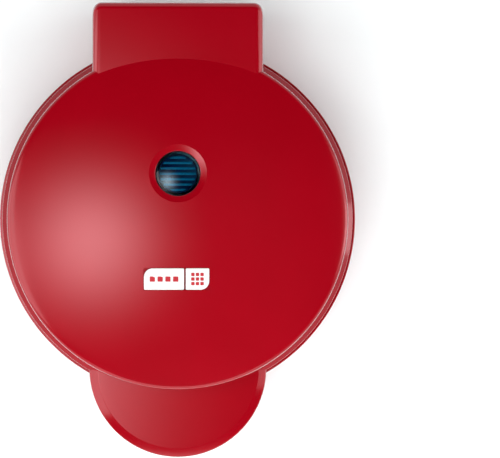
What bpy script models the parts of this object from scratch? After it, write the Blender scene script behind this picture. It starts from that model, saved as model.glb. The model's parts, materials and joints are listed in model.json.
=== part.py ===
"""Round waffle maker: two red casings hinged at the rear, with heart-shaped cast plates inside.

Metres, +Z up. The handle points to -Y and the hinge housing to +Y. The origin is under the middle of
the bounding box, on the surface that the feet stand on.
"""
import math

import bmesh
import bpy
from mathutils import Matrix, Vector

MM = 0.001
GAP = 0.3 * MM                      # clearance between pieces that meet
WALL = 2.5 * MM                     # moulded and cast walls
ROUND_STEPS = 40                    # sides of the large round pieces
SMALL_STEPS = 12                    # sides of screws and other small round pieces

# Round body, seen from above
RIM_RADIUS = 115.5 * MM             # base rim, the widest line
FLANGE_RADIUS = 113.6 * MM          # lid flange, just inside the rim
WALL_FOOT = 110.0 * MM              # foot of the lid's side wall
SHOULDER_RADIUS = 108.3 * MM        # top of the lid's side wall, where it turns in to the crown
CROWN_RADIUS = 105.1 * MM           # where the crown begins
HANDLE_REACH = 154.3 * MM           # from the body's axis to the handle's tip
HANDLE_RADIUS = 57.4 * MM
TAB_RADIUS = 50.0 * MM              # base tab under the handle
HOUSING_REACH = 137.7 * MM          # from the body's axis to the rear face
HOUSING_WIDTH = 108.6 * MM
HOUSING_CORNER = 6.0 * MM
BODY_Y = (HANDLE_REACH - HOUSING_REACH) / 2
HANDLE_Y = BODY_Y - HANDLE_REACH + HANDLE_RADIUS
REAR_Y = BODY_Y + HOUSING_REACH
HOUSING_FRONT_Y = BODY_Y + 60 * MM  # hidden start of the housing inside the body

# Heights
FOOT_TOP = 4.2 * MM
BASE_BOTTOM = 4.0 * MM
COVER_TOP = 7.0 * MM
FLOOR_TOP = 9.2 * MM                # inner flange that the bottom cover is screwed to
PARTING = 46.3 * MM                 # middle of the parting gap, and height of the hinge axis
BASE_TOP = PARTING - GAP
LID_BOTTOM = PARTING + GAP
LEDGE_EDGE = 50.2 * MM              # the lid's ledge rises from its outer edge to the side wall
LEDGE_TOP = 53.3 * MM
SHOULDER_HEIGHT = 74.5 * MM
HANDLE_TOP = 53.6 * MM
HOUSING_TOP = 84.0 * MM
HOUSING_EDGE = 4.5 * MM
CROWN_EDGE = 83.2 * MM
CROWN_TOP = 95.7 * MM
TAB_TOP = 43.3 * MM
TAB_BOTTOM = 36.3 * MM

# Hinge: the lid's barrel turns between and around two ears on the base
BARREL_RADIUS = 15.7 * MM
TROUGH_RADIUS = BARREL_RADIUS + 2 * GAP
HINGE = Vector((0.0, REAR_Y - BARREL_RADIUS, PARTING))
OPEN_ANGLE = math.radians(100)
EAR_RADIUS = 12.0 * MM
EAR_INNER, EAR_OUTER = 41.5 * MM, 50.8 * MM
WEB_INNER, WEB_OUTER = 37.5 * MM, 40.5 * MM
STEM_REAR = -3.6 * MM               # rear face of an ear's stem, from the hinge axis
PIN_RADIUS = 2.5 * MM
BUSH_BORE = 2.7 * MM
BUSH_RADIUS = 4.2 * MM

# Cast plates; depths are measured from the parting plane
PLATE_RADIUS = 101.5 * MM
PLATE_FACE = 0.5 * MM
FLANGE_BACK = 3.5 * MM
CAVITY_FLOOR = 10.5 * MM
TUB_BACK = CAVITY_FLOOR + WALL
STUD_TIP = 2.5 * MM
STUD_PITCH = 20.0 * MM
STUD_WIDTH = 13.0 * MM
STUD_TIP_WIDTH = 10.5 * MM
HEART_WIDTH = 180.0 * MM
HEART_LENGTH = 159.0 * MM
CLEFT_DEPTH = 17.0 * MM
CLEFT_RADIUS = 8.0 * MM
TIP_RADIUS = 14.0 * MM
STUD_MARGIN = 6.0 * MM              # from the cavity's wall to the nearest stud

# Trim rings, heaters and pans behind the plates
LINER_INNER = PLATE_RADIUS + GAP
LINER_FACE = 1.1 * MM
LINER_BACK = 3.6 * MM
LIP_INNER = 98.0 * MM
LIP_OUTER = 102.9 * MM
LIP_BACK = 6.3 * MM
BASE_LINER_RADIUS = 112.5 * MM
LID_LINER_RADIUS = 110.5 * MM
LINER_SCREW_CIRCLE = 106.2 * MM
LINER_BOSS_RADIUS = 2.9 * MM
LINER_BOSS_BACK = 15.5 * MM
ELEMENT_RADIUS = 3.3 * MM
ELEMENT_RING = 58.0 * MM
ELEMENT_DEPTH = TUB_BACK + GAP + ELEMENT_RADIUS
ELEMENT_GAP = math.radians(20)      # half the opening of the ring, at its rear
ELEMENT_LEG_X = 9.0 * MM
ELEMENT_LEG_Y = 76.0 * MM
CLAMP_DEPTH = ELEMENT_DEPTH + ELEMENT_RADIUS + GAP
CLAMP_THICKNESS = 1.5 * MM
PAN_DEPTH = 25.2 * MM
PAN_THICKNESS = 0.8 * MM
PAN_RADIUS = 92.0 * MM
PAN_RIM_DEPTH = 20.2 * MM
PLATE_SCREW_CIRCLE = 85.0 * MM
PLATE_SCREW_ANGLES = (90, 222, 318)
CORNER_ANGLES = (45, 135, 225, 315)
COVER_SCREW_ANGLES = (20, 160, 200, 340)
COVER_SCREW_CIRCLE = 89.5 * MM
COVER_RADIUS = 95.2 * MM
FOOT_CIRCLE = 78.0 * MM
FOOT_RADIUS = 9.0 * MM

# Screws
SHANK_RADIUS = 1.5 * MM
SCREW_HOLE = SHANK_RADIUS + GAP
HEAD_RADIUS = 2.6 * MM
HEAD_HEIGHT = 1.2 * MM

# Indicator light and badge on the crown
LIGHT_Y = BODY_Y + 28.8 * MM
LENS_RADIUS = 13.55 * MM
LENS_HOLE = 14.3 * MM
RECESS_RADIUS = 18.4 * MM
RECESS_DEPTH = 1.4 * MM
COLLAR_BOTTOM = -6.6 * MM            # below the crown at the light
BADGE_Y = BODY_Y - 37.8 * MM
BADGE_LENGTH = 13.5 * MM
BADGE_RISE = 0.45 * MM              # how far the badge stands out of the crown
BADGE_THICKNESS = 1.0 * MM
PANEL_SPAN = (-21.4 * MM, 3.9 * MM)
TILE_SPAN = (4.9 * MM, 19.7 * MM)
BADGE_CORNER = 5.5 * MM

# Rear wall
GLAND_X, GLAND_Z = 30.0 * MM, 15.8 * MM
GLAND_RADIUS = 6.6 * MM
GLAND_BORE = 3.6 * MM

COLOURS = {                         # base colour, roughness, metallic
    "red_gloss": ((0.245, 0.001, 0.006), 0.15, 0.0),
    "black_plastic": ((0.02, 0.02, 0.02), 0.5, 0.0),
    "rubber": ((0.03, 0.03, 0.03), 0.8, 0.0),
    "nonstick": ((0.025, 0.025, 0.027), 0.4, 0.0),
    "heater_steel": ((0.35, 0.33, 0.31), 0.4, 1.0),
    "sheet_steel": ((0.6, 0.6, 0.6), 0.35, 1.0),
    "screw_steel": ((0.5, 0.5, 0.5), 0.3, 1.0),
    "white_insulator": ((0.8, 0.78, 0.72), 0.5, 0.0),
    "blue_lens": ((0.01, 0.12, 0.3), 0.1, 0.0),
    "lamp_glass": ((0.8, 0.5, 0.3), 0.1, 0.0),
    "badge_white": ((0.85, 0.85, 0.85), 0.4, 0.0),
}


# Shared helpers ------------------------------------------------------------------------------------

def clear_scene():
    for item in list(bpy.data.objects):
        bpy.data.objects.remove(item, do_unlink=True)


def make_material(name):
    colour, roughness, metallic = COLOURS[name]
    material = bpy.data.materials.new(name)
    material.use_nodes = True
    shader = material.node_tree.nodes["Principled BSDF"]
    shader.inputs["Base Color"].default_value = (*colour, 1.0)
    shader.inputs["Roughness"].default_value = roughness
    shader.inputs["Metallic"].default_value = metallic
    material.diffuse_color = (*colour, 1.0)
    return material


def add_object(name, data, material=None):
    item = bpy.data.objects.new(name, data)
    bpy.context.scene.collection.objects.link(item)
    if material:
        data.materials.append(bpy.data.materials[material])
    return item


def lofted(name, loops, material=None, ring=False):
    """A closed solid through equal loops of points, capped at both ends or closed into a ring."""
    build = bmesh.new()
    rows = [[build.verts.new(point) for point in loop] for loop in loops]
    pairs = list(zip(rows, rows[1:]))
    if ring:
        pairs.append((rows[-1], rows[0]))
    else:
        build.faces.new(rows[0])
        build.faces.new(rows[-1])
    for first, second in pairs:
        for index in range(len(first)):
            after = (index + 1) % len(first)
            build.faces.new((first[index], first[after], second[after], second[index]))
    bmesh.ops.recalc_face_normals(build, faces=build.faces)
    mesh = bpy.data.meshes.new(name)
    build.to_mesh(mesh)
    build.free()
    mesh.shade_smooth()
    mesh.set_sharp_from_angle(angle=math.radians(30))
    return add_object(name, mesh, material)


def turned(name, profile, material=None, centre=(0, 0, 0), axis="Z", steps=SMALL_STEPS, ring=False,
           phase=0.0):
    """Turn (radius, distance along the axis) points about an axis through the centre."""
    loops = []
    for radius, along in profile:
        loop = []
        for step in range(steps):
            angle = 2 * math.pi * (step + phase) / steps
            across, up = radius * math.cos(angle), radius * math.sin(angle)
            point = {"X": (along, across, up), "Y": (across, along, up), "Z": (across, up, along)}[axis]
            loop.append(Vector(centre) + Vector(point))
        loops.append(loop)
    return lofted(name, loops, material, ring)


def prism(name, outline, bottom, top, material=None):
    """Extrude an outline in the XY plane between two heights."""
    return lofted(name, [[(x, y, height) for x, y in outline] for height in (bottom, top)], material)


def side_prism(name, outline, left, right, material=None):
    """Extrude an outline given as (y, z) offsets from the hinge axis between two x positions."""
    loops = [[(x, HINGE.y + y, HINGE.z + z) for y, z in outline] for x in (left, right)]
    return lofted(name, loops, material)


def box(name, low, high, material=None):
    outline = [(low[0], low[1]), (high[0], low[1]), (high[0], high[1]), (low[0], high[1])]
    return prism(name, outline, low[2], high[2], material)


def arc(centre, radius, start, end, steps):
    """Points of a circular arc; angles in radians, both ends included."""
    angles = [start + (end - start) * step / steps for step in range(steps + 1)]
    return [(centre[0] + radius * math.cos(angle), centre[1] + radius * math.sin(angle))
            for angle in angles]


def tube(name, points, radius, material):
    """A round rod or lead along a route."""
    curve = bpy.data.curves.new(name, "CURVE")
    curve.dimensions = "3D"
    curve.bevel_depth = radius
    curve.bevel_resolution = 1
    curve.use_fill_caps = True
    spline = curve.splines.new("POLY")
    spline.points.add(len(points) - 1)
    for target, point in zip(spline.points, points):
        target.co = (*point, 1.0)
    return add_object(name, curve, material)


def bezier(points, steps):
    """Points of a cubic curve through four control points."""
    first, second, third, last = (Vector(point) for point in points)
    route = []
    for step in range(steps + 1):
        t = step / steps
        s = 1 - t
        route.append(first * s ** 3 + second * 3 * s * s * t + third * 3 * s * t * t + last * t ** 3)
    return route


def combine(target, operation, tools):
    for tool in tools:
        modifier = target.modifiers.new(tool.name, "BOOLEAN")
        modifier.operation = operation
        modifier.object = tool
        tool.hide_render = True
        tool.display_type = "WIRE"


def join(target, *tools):
    combine(target, "UNION", tools)


def cut(target, *tools):
    combine(target, "DIFFERENCE", tools)


def on_circle(radius, degrees):
    angle = math.radians(degrees)
    return radius * math.cos(angle), BODY_Y + radius * math.sin(angle)


def crown_height(radius):
    """Height of the lid's crown at a distance from the body's axis."""
    return CROWN_TOP - (CROWN_TOP - CROWN_EDGE) * (radius / CROWN_RADIUS) ** 2


def lay_on_crown(item, y):
    """Move a piece modelled around the origin onto the crown, square to its surface."""
    reach = y - BODY_Y
    slope = math.atan(-2 * (CROWN_TOP - CROWN_EDGE) * reach / CROWN_RADIUS ** 2)
    place = Matrix.Translation((0, y, crown_height(reach)))
    item.data.transform(place @ Matrix.Rotation(slope, 4, "X"))
    return item


def level(side, depth):
    """Height of a plane at a depth from the parting plane; side is 1 in the lid and -1 in the base."""
    return PARTING + side * depth


# Outlines ------------------------------------------------------------------------------------------

def housing_outline(inset):
    """Rear housing from above: straight sides and two round rear corners."""
    side = HOUSING_WIDTH / 2 - inset
    rear = REAR_Y - inset
    radius = HOUSING_CORNER - inset
    points = [(-side, HOUSING_FRONT_Y), (side, HOUSING_FRONT_Y)]
    points += arc((side - radius, rear - radius), radius, 0, math.pi / 2, 5)
    points += arc((radius - side, rear - radius), radius, math.pi / 2, math.pi, 5)
    return points


def crescent_outline(tab_radius, body_radius):
    """The part of a round tab around the handle's centre that lies outside the round body."""
    offset = BODY_Y - HANDLE_Y
    meet_y = -(body_radius ** 2 - tab_radius ** 2 + offset ** 2) / (2 * offset)
    meet_x = math.sqrt(body_radius ** 2 - meet_y ** 2)
    tab_angle = math.atan2(meet_y + offset, meet_x)
    body_angle = math.atan2(meet_y, meet_x)
    outer = arc((0, HANDLE_Y), tab_radius, tab_angle, -math.pi - tab_angle, 16)
    inner = arc((0, BODY_Y), body_radius, -math.pi - body_angle, body_angle, 8)
    return outer + inner[1:-1]


def heart_outline(inset):
    """Heart with two round lobes, a rounded cleft at the rear and a rounded tip in front."""
    lobe_side = HEART_WIDTH / 2
    linear = 2 * CLEFT_DEPTH
    constant = linear * (lobe_side + CLEFT_RADIUS) - CLEFT_DEPTH ** 2
    lobe_x = (-linear + math.sqrt(linear ** 2 + 4 * constant)) / 2
    lobe = lobe_side - lobe_x
    span = HEART_LENGTH - lobe - TIP_RADIUS
    rest = span + TIP_RADIUS - lobe
    lobe_y = (rest ** 2 - lobe_x ** 2) / (2 * rest)
    tip_y = lobe_y - span
    cleft_y = lobe_y + math.sqrt((lobe + CLEFT_RADIUS) ** 2 - lobe_x ** 2)
    # The straight side touches the lobe and the tip circle, whose radii differ.
    lean = math.atan2(span, lobe_x)
    tangent = lean - math.acos((TIP_RADIUS - lobe) / math.hypot(span, lobe_x))
    cleft_angle = math.atan2(cleft_y - lobe_y, -lobe_x)
    half = arc((0, tip_y), TIP_RADIUS - inset, -math.pi / 2, tangent, 4)
    half += arc((lobe_x, lobe_y), lobe - inset, tangent, cleft_angle, 14)
    half += arc((0, cleft_y), CLEFT_RADIUS + inset, cleft_angle - math.pi, -math.pi / 2, 3)[1:]
    mirrored = [(-x, y) for x, y in reversed(half[1:-1])]
    return [(x, BODY_Y + y) for x, y in half + mirrored]


def inside(point, outline):
    """Even-odd test of a point against an outline."""
    crossings = 0
    for (x1, y1), (x2, y2) in zip(outline, outline[1:] + outline[:1]):
        if (y1 > point[1]) != (y2 > point[1]):
            crossings += point[0] < x1 + (point[1] - y1) * (x2 - x1) / (y2 - y1)
    return crossings % 2 == 1


def sweep_outline(offset):
    """Space that the lid's rear end passes through: a round trough, then a deck that stops the lid."""
    radius = TROUGH_RADIUS + offset
    top = 5 * MM
    start_height = BASE_TOP - HINGE.z - offset
    start = math.pi + math.asin(-start_height / radius)
    trough = arc((0, 0), radius, start, 2 * math.pi - OPEN_ANGLE, 12)
    reach = 30 * MM
    deck = (trough[-1][0] + reach * math.sin(OPEN_ANGLE), trough[-1][1] + reach * math.cos(OPEN_ANGLE))
    return [(deck[0], top), (trough[0][0], top)] + trough + [deck]


# Screws --------------------------------------------------------------------------------------------

def screw(name, x, y, seat, length, direction, material="screw_steel"):
    """A screw whose head bears on the seat height and whose shank runs along the direction."""
    profile = [(HEAD_RADIUS, seat - direction * (HEAD_HEIGHT + GAP)), (HEAD_RADIUS, seat - direction * GAP),
               (SHANK_RADIUS, seat - direction * GAP), (SHANK_RADIUS, seat + direction * length)]
    return turned(name, profile, material, (x, y, 0), steps=10)


def post(name, x, y, low, high, radius=SCREW_HOLE):
    """A plain upright cylinder, used for bosses and for the holes in them."""
    return turned(name, [(radius, low), (radius, high)], None, (x, y, 0), phase=0.5)


# Casings -------------------------------------------------------------------------------------------

def make_base_shell():
    centre = (0, BODY_Y, 0)
    rim = RIM_RADIUS / MM
    outer = [(98, 4), (104.5, 9), (108.4, 16), (109.8, 24), (110.6, 36.5), (112.2, 38.6),
             (rim, 40.6), (rim, 45.4), (rim - 0.5, 46.0)]
    inner = [(95.5, 3), (95.5, 7.3), (84, 7.3), (84, 9.2), (101.9, 9.2), (105.9, 16), (107.3, 24),
             (107.9, 36), (107.9, 42.4), (112.8, 42.4), (112.8, 47)]
    shell = turned("base_shell", [(r * MM, z * MM) for r, z in outer], "red_gloss", centre,
                   steps=ROUND_STEPS)
    housing = prism("base_housing", housing_outline(0), BASE_BOTTOM, BASE_TOP)
    tab = turned("base_tab", [(TAB_RADIUS, TAB_BOTTOM), (TAB_RADIUS, TAB_TOP - MM),
                              (TAB_RADIUS - MM, TAB_TOP)], None, (0, HANDLE_Y, 0), steps=32)
    wide = HOUSING_WIDTH / 2 + 5 * MM
    sweep = side_prism("lid_sweep", sweep_outline(0), -wide, wide)
    sweep_wall = side_prism("lid_sweep_wall", sweep_outline(WALL), -wide, wide)
    body_hollow = turned("base_hollow", [(r * MM, z * MM) for r, z in inner], None, centre,
                         steps=ROUND_STEPS)
    housing_hollow = prism("base_housing_hollow", housing_outline(WALL), BASE_BOTTOM - MM,
                           BASE_TOP - WALL)
    tab_hollow = prism("base_tab_hollow", crescent_outline(TAB_RADIUS - WALL, 113.6 * MM),
                       TAB_BOTTOM - MM, TAB_TOP - WALL)
    cut(body_hollow, sweep_wall)
    cut(housing_hollow, sweep_wall)
    join(shell, housing, tab)
    cut(shell, sweep, body_hollow, housing_hollow, tab_hollow)
    for side in (-1, 1):
        join(shell, make_ear(side))
        ends = sorted((side * (EAR_INNER - MM), side * (EAR_OUTER + MM)))
        cut(shell, turned("ear_bore", [(BUSH_RADIUS + GAP, ends[0]), (BUSH_RADIUS + GAP, ends[1])],
                          None, (0, HINGE.y, HINGE.z), "X", 16))
    cut(shell, turned("gland_hole", [(GLAND_RADIUS + GAP, REAR_Y - 2 * WALL),
                                     (GLAND_RADIUS + GAP, REAR_Y + WALL)],
                      None, (GLAND_X, 0, GLAND_Z), "Y", 16))
    for degrees in COVER_SCREW_ANGLES:
        x, y = on_circle(COVER_SCREW_CIRCLE, degrees)
        join(shell, post("cover_boss", x, y, FLOOR_TOP - MM, 18 * MM, 4.4 * MM))
        cut(shell, post("cover_boss_hole", x, y, BASE_BOTTOM, 16.5 * MM))
    add_liner_bosses(shell, -1)
    return shell


def make_ear(side):
    """Ear with a round head on the hinge axis and a stem on the front side, clear of the lid."""
    stem_foot = -20 * MM
    head = arc((0, 0), EAR_RADIUS, math.pi, math.asin(STEM_REAR / EAR_RADIUS) - math.pi / 2, 14)
    outline = head + [(STEM_REAR, stem_foot), (-EAR_RADIUS, stem_foot)]
    ends = sorted((side * EAR_INNER, side * EAR_OUTER))
    return side_prism("hinge_ear", outline, *ends)


def add_liner_bosses(shell, side):
    """Bosses inside a casing's wall for the screws of its trim ring."""
    for degrees in CORNER_ANGLES:
        x, y = on_circle(LINER_SCREW_CIRCLE, degrees)
        seat = LINER_BACK + 2 * GAP
        heights = sorted((level(side, seat), level(side, LINER_BOSS_BACK)))
        join(shell, post("liner_boss", x, y, *heights, LINER_BOSS_RADIUS))
        heights = sorted((level(side, seat - MM), level(side, LINER_BOSS_BACK - 1.5 * MM)))
        cut(shell, post("liner_boss_hole", x, y, *heights))


def make_lid_shell():
    centre = (0, BODY_Y, 0)
    crown = [(radius * MM, crown_height(radius * MM)) for radius in (105.1, 84, 60, 32, 2)]
    wall = [(FLANGE_RADIUS, LID_BOTTOM), (FLANGE_RADIUS, LEDGE_EDGE), (WALL_FOOT, LEDGE_TOP),
            (SHOULDER_RADIUS, SHOULDER_HEIGHT)]
    inside_crown = [(radius * MM, crown_height(radius * MM) - WALL) for radius in (86, 50, 2)]
    hollow = [(110.8 * MM, PARTING - GAP), (110.8 * MM, 50.2 * MM), (107.5 * MM, 50.2 * MM),
              (105.8 * MM, 74 * MM), (103 * MM, 80.6 * MM)] + inside_crown
    shell = turned("lid_shell", wall + crown, "red_gloss", centre, steps=ROUND_STEPS)
    join(shell, make_lid_housing(), make_barrel(), make_handle())
    cut(shell, turned("lid_hollow", hollow, None, centre, steps=ROUND_STEPS),
        prism("lid_housing_hollow", housing_outline(WALL), PARTING, HOUSING_TOP - WALL),
        prism("handle_hollow", crescent_outline(HANDLE_RADIUS - WALL, FLANGE_RADIUS + GAP),
              LID_BOTTOM - MM, HANDLE_TOP - WALL),
        make_barrel_hollow())
    reach = TROUGH_RADIUS + WALL
    for side in (-1, 1):
        slot = [(-reach, -reach), (reach, -reach), (reach, 2 * GAP), (-reach, 2 * GAP)]
        ends = sorted((side * WEB_OUTER, side * (HOUSING_WIDTH / 2 - WALL)))
        cut(shell, side_prism("ear_slot", slot, *ends))
        ends = sorted((side * WEB_INNER, side * WEB_OUTER))
        web_radius = BARREL_RADIUS - MM
        join(shell, turned("web", [(web_radius, ends[0]), (web_radius, ends[1])], None,
                           (0, HINGE.y, HINGE.z), "X", 24))
        ends = sorted((side * (WEB_INNER - MM), side * (WEB_OUTER + MM)))
        cut(shell, turned("web_hole", [(PIN_RADIUS + GAP, ends[0]), (PIN_RADIUS + GAP, ends[1])],
                          None, (0, HINGE.y, HINGE.z), "X", 16))
    add_light_opening(shell)
    cut(shell, make_badge_pocket())
    add_liner_bosses(shell, 1)
    return shell


def make_lid_housing():
    """Housing block with a round edge along its sides and rear."""
    loops = [[(x, y, LID_BOTTOM) for x, y in housing_outline(0)]]
    for step in range(4):
        angle = math.pi / 2 * step / 3
        inset = HOUSING_EDGE * (1 - math.cos(angle))
        height = HOUSING_TOP - HOUSING_EDGE * (1 - math.sin(angle))
        loops.append([(x, y, height) for x, y in housing_outline(inset)])
    return lofted("lid_housing", loops)


def make_barrel():
    """Round underside of the lid's rear end, with its ends rounded like the housing's corners."""
    straight = HOUSING_WIDTH / 2 - HOUSING_CORNER
    end = arc((straight, BARREL_RADIUS - HOUSING_CORNER), HOUSING_CORNER, math.pi / 2, 0, 4)
    half = [(radius, along) for along, radius in end]
    profile = [(radius, -along) for radius, along in reversed(half)] + half
    return turned("hinge_barrel", profile, None, (0, HINGE.y, HINGE.z), "X", 24)


def make_barrel_hollow():
    """Hollow of the barrel between its webs: round below, open into the housing above."""
    radius = BARREL_RADIUS - WALL
    outline = arc((0, 0), radius, -math.pi, 0, 12) + [(radius, 14 * MM), (-radius, 14 * MM)]
    return side_prism("barrel_hollow", outline, -WEB_INNER, WEB_INNER)


def make_handle():
    edge = 3 * MM
    profile = [(HANDLE_RADIUS, LID_BOTTOM), (HANDLE_RADIUS, HANDLE_TOP - edge),
               (HANDLE_RADIUS - 0.3 * edge, HANDLE_TOP - 0.3 * edge), (HANDLE_RADIUS - edge, HANDLE_TOP)]
    return turned("handle_tab", profile, None, (0, HANDLE_Y, 0), steps=36)


def add_light_opening(shell):
    """Collar under the crown, then the dished recess and the hole for the lens."""
    collar = [(LENS_HOLE + 2 * MM, COLLAR_BOTTOM), (LENS_HOLE + 2 * MM, -RECESS_DEPTH - GAP)]
    recess = [(LENS_HOLE, COLLAR_BOTTOM - MM), (LENS_HOLE, -RECESS_DEPTH),
              (RECESS_RADIUS, -0.35 * MM), (RECESS_RADIUS + 3 * MM, 0.5 * MM)]
    join(shell, lay_on_crown(turned("lens_collar", collar, steps=24), LIGHT_Y))
    cut(shell, lay_on_crown(turned("lens_recess", recess, steps=24), LIGHT_Y))


def make_bottom_cover():
    bottom = BASE_BOTTOM + 0.5 * MM
    cover = turned("bottom_cover", [(COVER_RADIUS, bottom), (COVER_RADIUS, COVER_TOP)],
                   "black_plastic", (0, BODY_Y, 0), steps=ROUND_STEPS)
    join(cover, prism("cover_tongue", housing_outline(WALL + GAP), bottom, COVER_TOP))
    for degrees in COVER_SCREW_ANGLES:
        x, y = on_circle(COVER_SCREW_CIRCLE, degrees)
        cut(cover, post("cover_hole", x, y, bottom - MM, COVER_TOP + MM))
    return cover


def make_feet():
    for number, degrees in enumerate(CORNER_ANGLES, 1):
        x, y = on_circle(FOOT_CIRCLE, degrees)
        profile = [(FOOT_RADIUS - 0.8 * MM, 0), (FOOT_RADIUS, 0.8 * MM), (FOOT_RADIUS, FOOT_TOP)]
        turned(f"foot_{number}", profile, "rubber", (x, y, 0), steps=20)


def make_cover_screws():
    for number, degrees in enumerate(COVER_SCREW_ANGLES, 1):
        x, y = on_circle(COVER_SCREW_CIRCLE, degrees)
        screw(f"cover_screw_{number}", x, y, BASE_BOTTOM + 0.5 * MM, 11 * MM, 1)


# Parts that the base and the lid share, mirrored at the parting plane ------------------------------

def make_liner(name, side, radius):
    """Trim ring that a plate drops into; the base's ring gives way to the hinge trough."""
    section = [(LIP_INNER, LIP_BACK), (LIP_OUTER, LIP_BACK), (LIP_OUTER, LINER_BACK),
               (radius, LINER_BACK), (radius, LINER_FACE), (LINER_INNER, LINER_FACE),
               (LINER_INNER, FLANGE_BACK + GAP), (LIP_INNER, FLANGE_BACK + GAP)]
    ring = turned(name, [(r, level(side, depth)) for r, depth in section], "red_gloss",
                  (0, BODY_Y, 0), steps=ROUND_STEPS, ring=True)
    for degrees in CORNER_ANGLES:
        x, y = on_circle(LINER_SCREW_CIRCLE, degrees)
        bore = [(HEAD_RADIUS + GAP, level(side, 0)), (HEAD_RADIUS + GAP, level(side, LINER_BACK - MM)),
                (SCREW_HOLE, level(side, LINER_BACK - MM)), (SCREW_HOLE, level(side, LINER_BACK + MM))]
        cut(ring, turned("liner_bore", bore, None, (x, y, 0)))
    if side < 0:
        cut(ring, side_prism("trough_wall", sweep_outline(WALL + GAP), -HOUSING_WIDTH / 2 - MM,
                             HOUSING_WIDTH / 2 + MM))
    return ring


def make_plate(name, side):
    """Cast plate: round flange, heart-shaped tub with tapered studs, and bosses on its back."""
    def slab(part, outline, near, far, far_outline=None):
        loops = [[(x, y, level(side, near)) for x, y in outline],
                 [(x, y, level(side, far)) for x, y in far_outline or outline]]
        return lofted(part, loops)

    plate = turned(name, [(PLATE_RADIUS, level(side, PLATE_FACE)), (PLATE_RADIUS, level(side, FLANGE_BACK))],
                   "nonstick", (0, BODY_Y, 0), steps=ROUND_STEPS)
    draft = 1.2 * MM
    join(plate, slab("tub", heart_outline(-WALL), 2 * MM, TUB_BACK, heart_outline(draft - WALL)))
    bosses = [(0, BODY_Y, CLAMP_DEPTH - GAP, TUB_BACK - MM, 5 * MM)]
    for degrees in PLATE_SCREW_ANGLES:
        bosses.append((*on_circle(PLATE_SCREW_CIRCLE, degrees), PAN_DEPTH - GAP, FLANGE_BACK - MM, 4.5 * MM))
    for x, y, back, front, radius in bosses:
        join(plate, post("plate_boss", x, y, *sorted((level(side, front), level(side, back))), radius))
    cut(plate, slab("cavity", heart_outline(0), -MM, CAVITY_FLOOR, heart_outline(draft)))
    join(plate, make_studs(side))
    for x, y, back, front, radius in bosses:
        deep = sorted((level(side, back + MM), level(side, back - 9 * MM + WALL)))
        cut(plate, post("plate_boss_hole", x, y, *deep))
    return plate


def make_studs(side):
    """Grid of tapered square studs, trimmed parallel to the heart."""
    limit = heart_outline(STUD_MARGIN)
    count = int(HEART_WIDTH / STUD_PITCH / 2) + 1
    build = bmesh.new()
    for column in range(-count, count + 1):
        for row in range(-count, count + 1):
            x, y = column * STUD_PITCH, BODY_Y + (row + 0.5) * STUD_PITCH
            if not inside((x, y), limit):
                continue
            loops = []
            for width, depth in ((STUD_WIDTH, CAVITY_FLOOR + MM), (STUD_TIP_WIDTH, STUD_TIP)):
                half = width / 2
                corners = ((-half, -half), (half, -half), (half, half), (-half, half))
                loops.append([build.verts.new((x + u, y + v, level(side, depth))) for u, v in corners])
            build.faces.new(loops[0])
            build.faces.new(loops[1])
            for index in range(4):
                after = (index + 1) % 4
                build.faces.new((loops[0][index], loops[0][after], loops[1][after], loops[1][index]))
    bmesh.ops.recalc_face_normals(build, faces=build.faces)
    mesh = bpy.data.meshes.new("studs")
    build.to_mesh(mesh)
    build.free()
    studs = add_object("studs", mesh)
    combine(studs, "INTERSECT", [prism("stud_limit", limit, *sorted((level(side, 0), level(side, 20 * MM))))])
    return studs


def make_element(name, side):
    """Tubular heater: a ring that is open at the rear, with two legs bent to the rear."""
    height = level(side, ELEMENT_DEPTH)
    start, end = math.pi / 2 + ELEMENT_GAP, math.pi / 2 - ELEMENT_GAP + 2 * math.pi
    ring = [Vector((x, y, height)) for x, y in arc((0, BODY_Y), ELEMENT_RING, start, end, 26)]
    legs = []
    for sign, joint, beyond in ((-1, ring[0], ring[0] - ring[1]), (1, ring[-1], ring[-1] - ring[-2])):
        tip = Vector((sign * ELEMENT_LEG_X, BODY_Y + ELEMENT_LEG_Y, height))
        bend = Vector((0, 12 * MM, 0))
        legs.append(bezier((tip, tip - bend, joint + beyond.normalized() * 9 * MM, joint), 5))
    return tube(name, legs[0] + ring[1:-1] + legs[1][::-1], ELEMENT_RADIUS, "heater_steel")


def make_clamp(name, side):
    heights = sorted((level(side, CLAMP_DEPTH), level(side, CLAMP_DEPTH + CLAMP_THICKNESS)))
    reach = ELEMENT_RING + 2 * ELEMENT_RADIUS
    clamp = box(name, (-reach, BODY_Y - 7 * MM, heights[0]), (reach, BODY_Y + 7 * MM, heights[1]),
                "sheet_steel")
    cut(clamp, post("clamp_hole", 0, BODY_Y, heights[0] - MM, heights[1] + MM))
    return clamp


def make_pan(name, side):
    """Reflector pan with a central wire hole and a raised rim."""
    section = [(8 * MM, PAN_DEPTH + PAN_THICKNESS), (PAN_RADIUS + PAN_THICKNESS, PAN_DEPTH + PAN_THICKNESS),
               (PAN_RADIUS + PAN_THICKNESS, PAN_RIM_DEPTH), (PAN_RADIUS, PAN_RIM_DEPTH),
               (PAN_RADIUS, PAN_DEPTH), (8 * MM, PAN_DEPTH)]
    pan = turned(name, [(r, level(side, depth)) for r, depth in section], "sheet_steel",
                 (0, BODY_Y, 0), steps=28, ring=True)
    for degrees in PLATE_SCREW_ANGLES:
        x, y = on_circle(PLATE_SCREW_CIRCLE, degrees)
        cut(pan, post("pan_hole", x, y, *sorted((level(side, PAN_DEPTH - MM), level(side, PAN_DEPTH + 2 * MM)))))
    return pan


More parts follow.
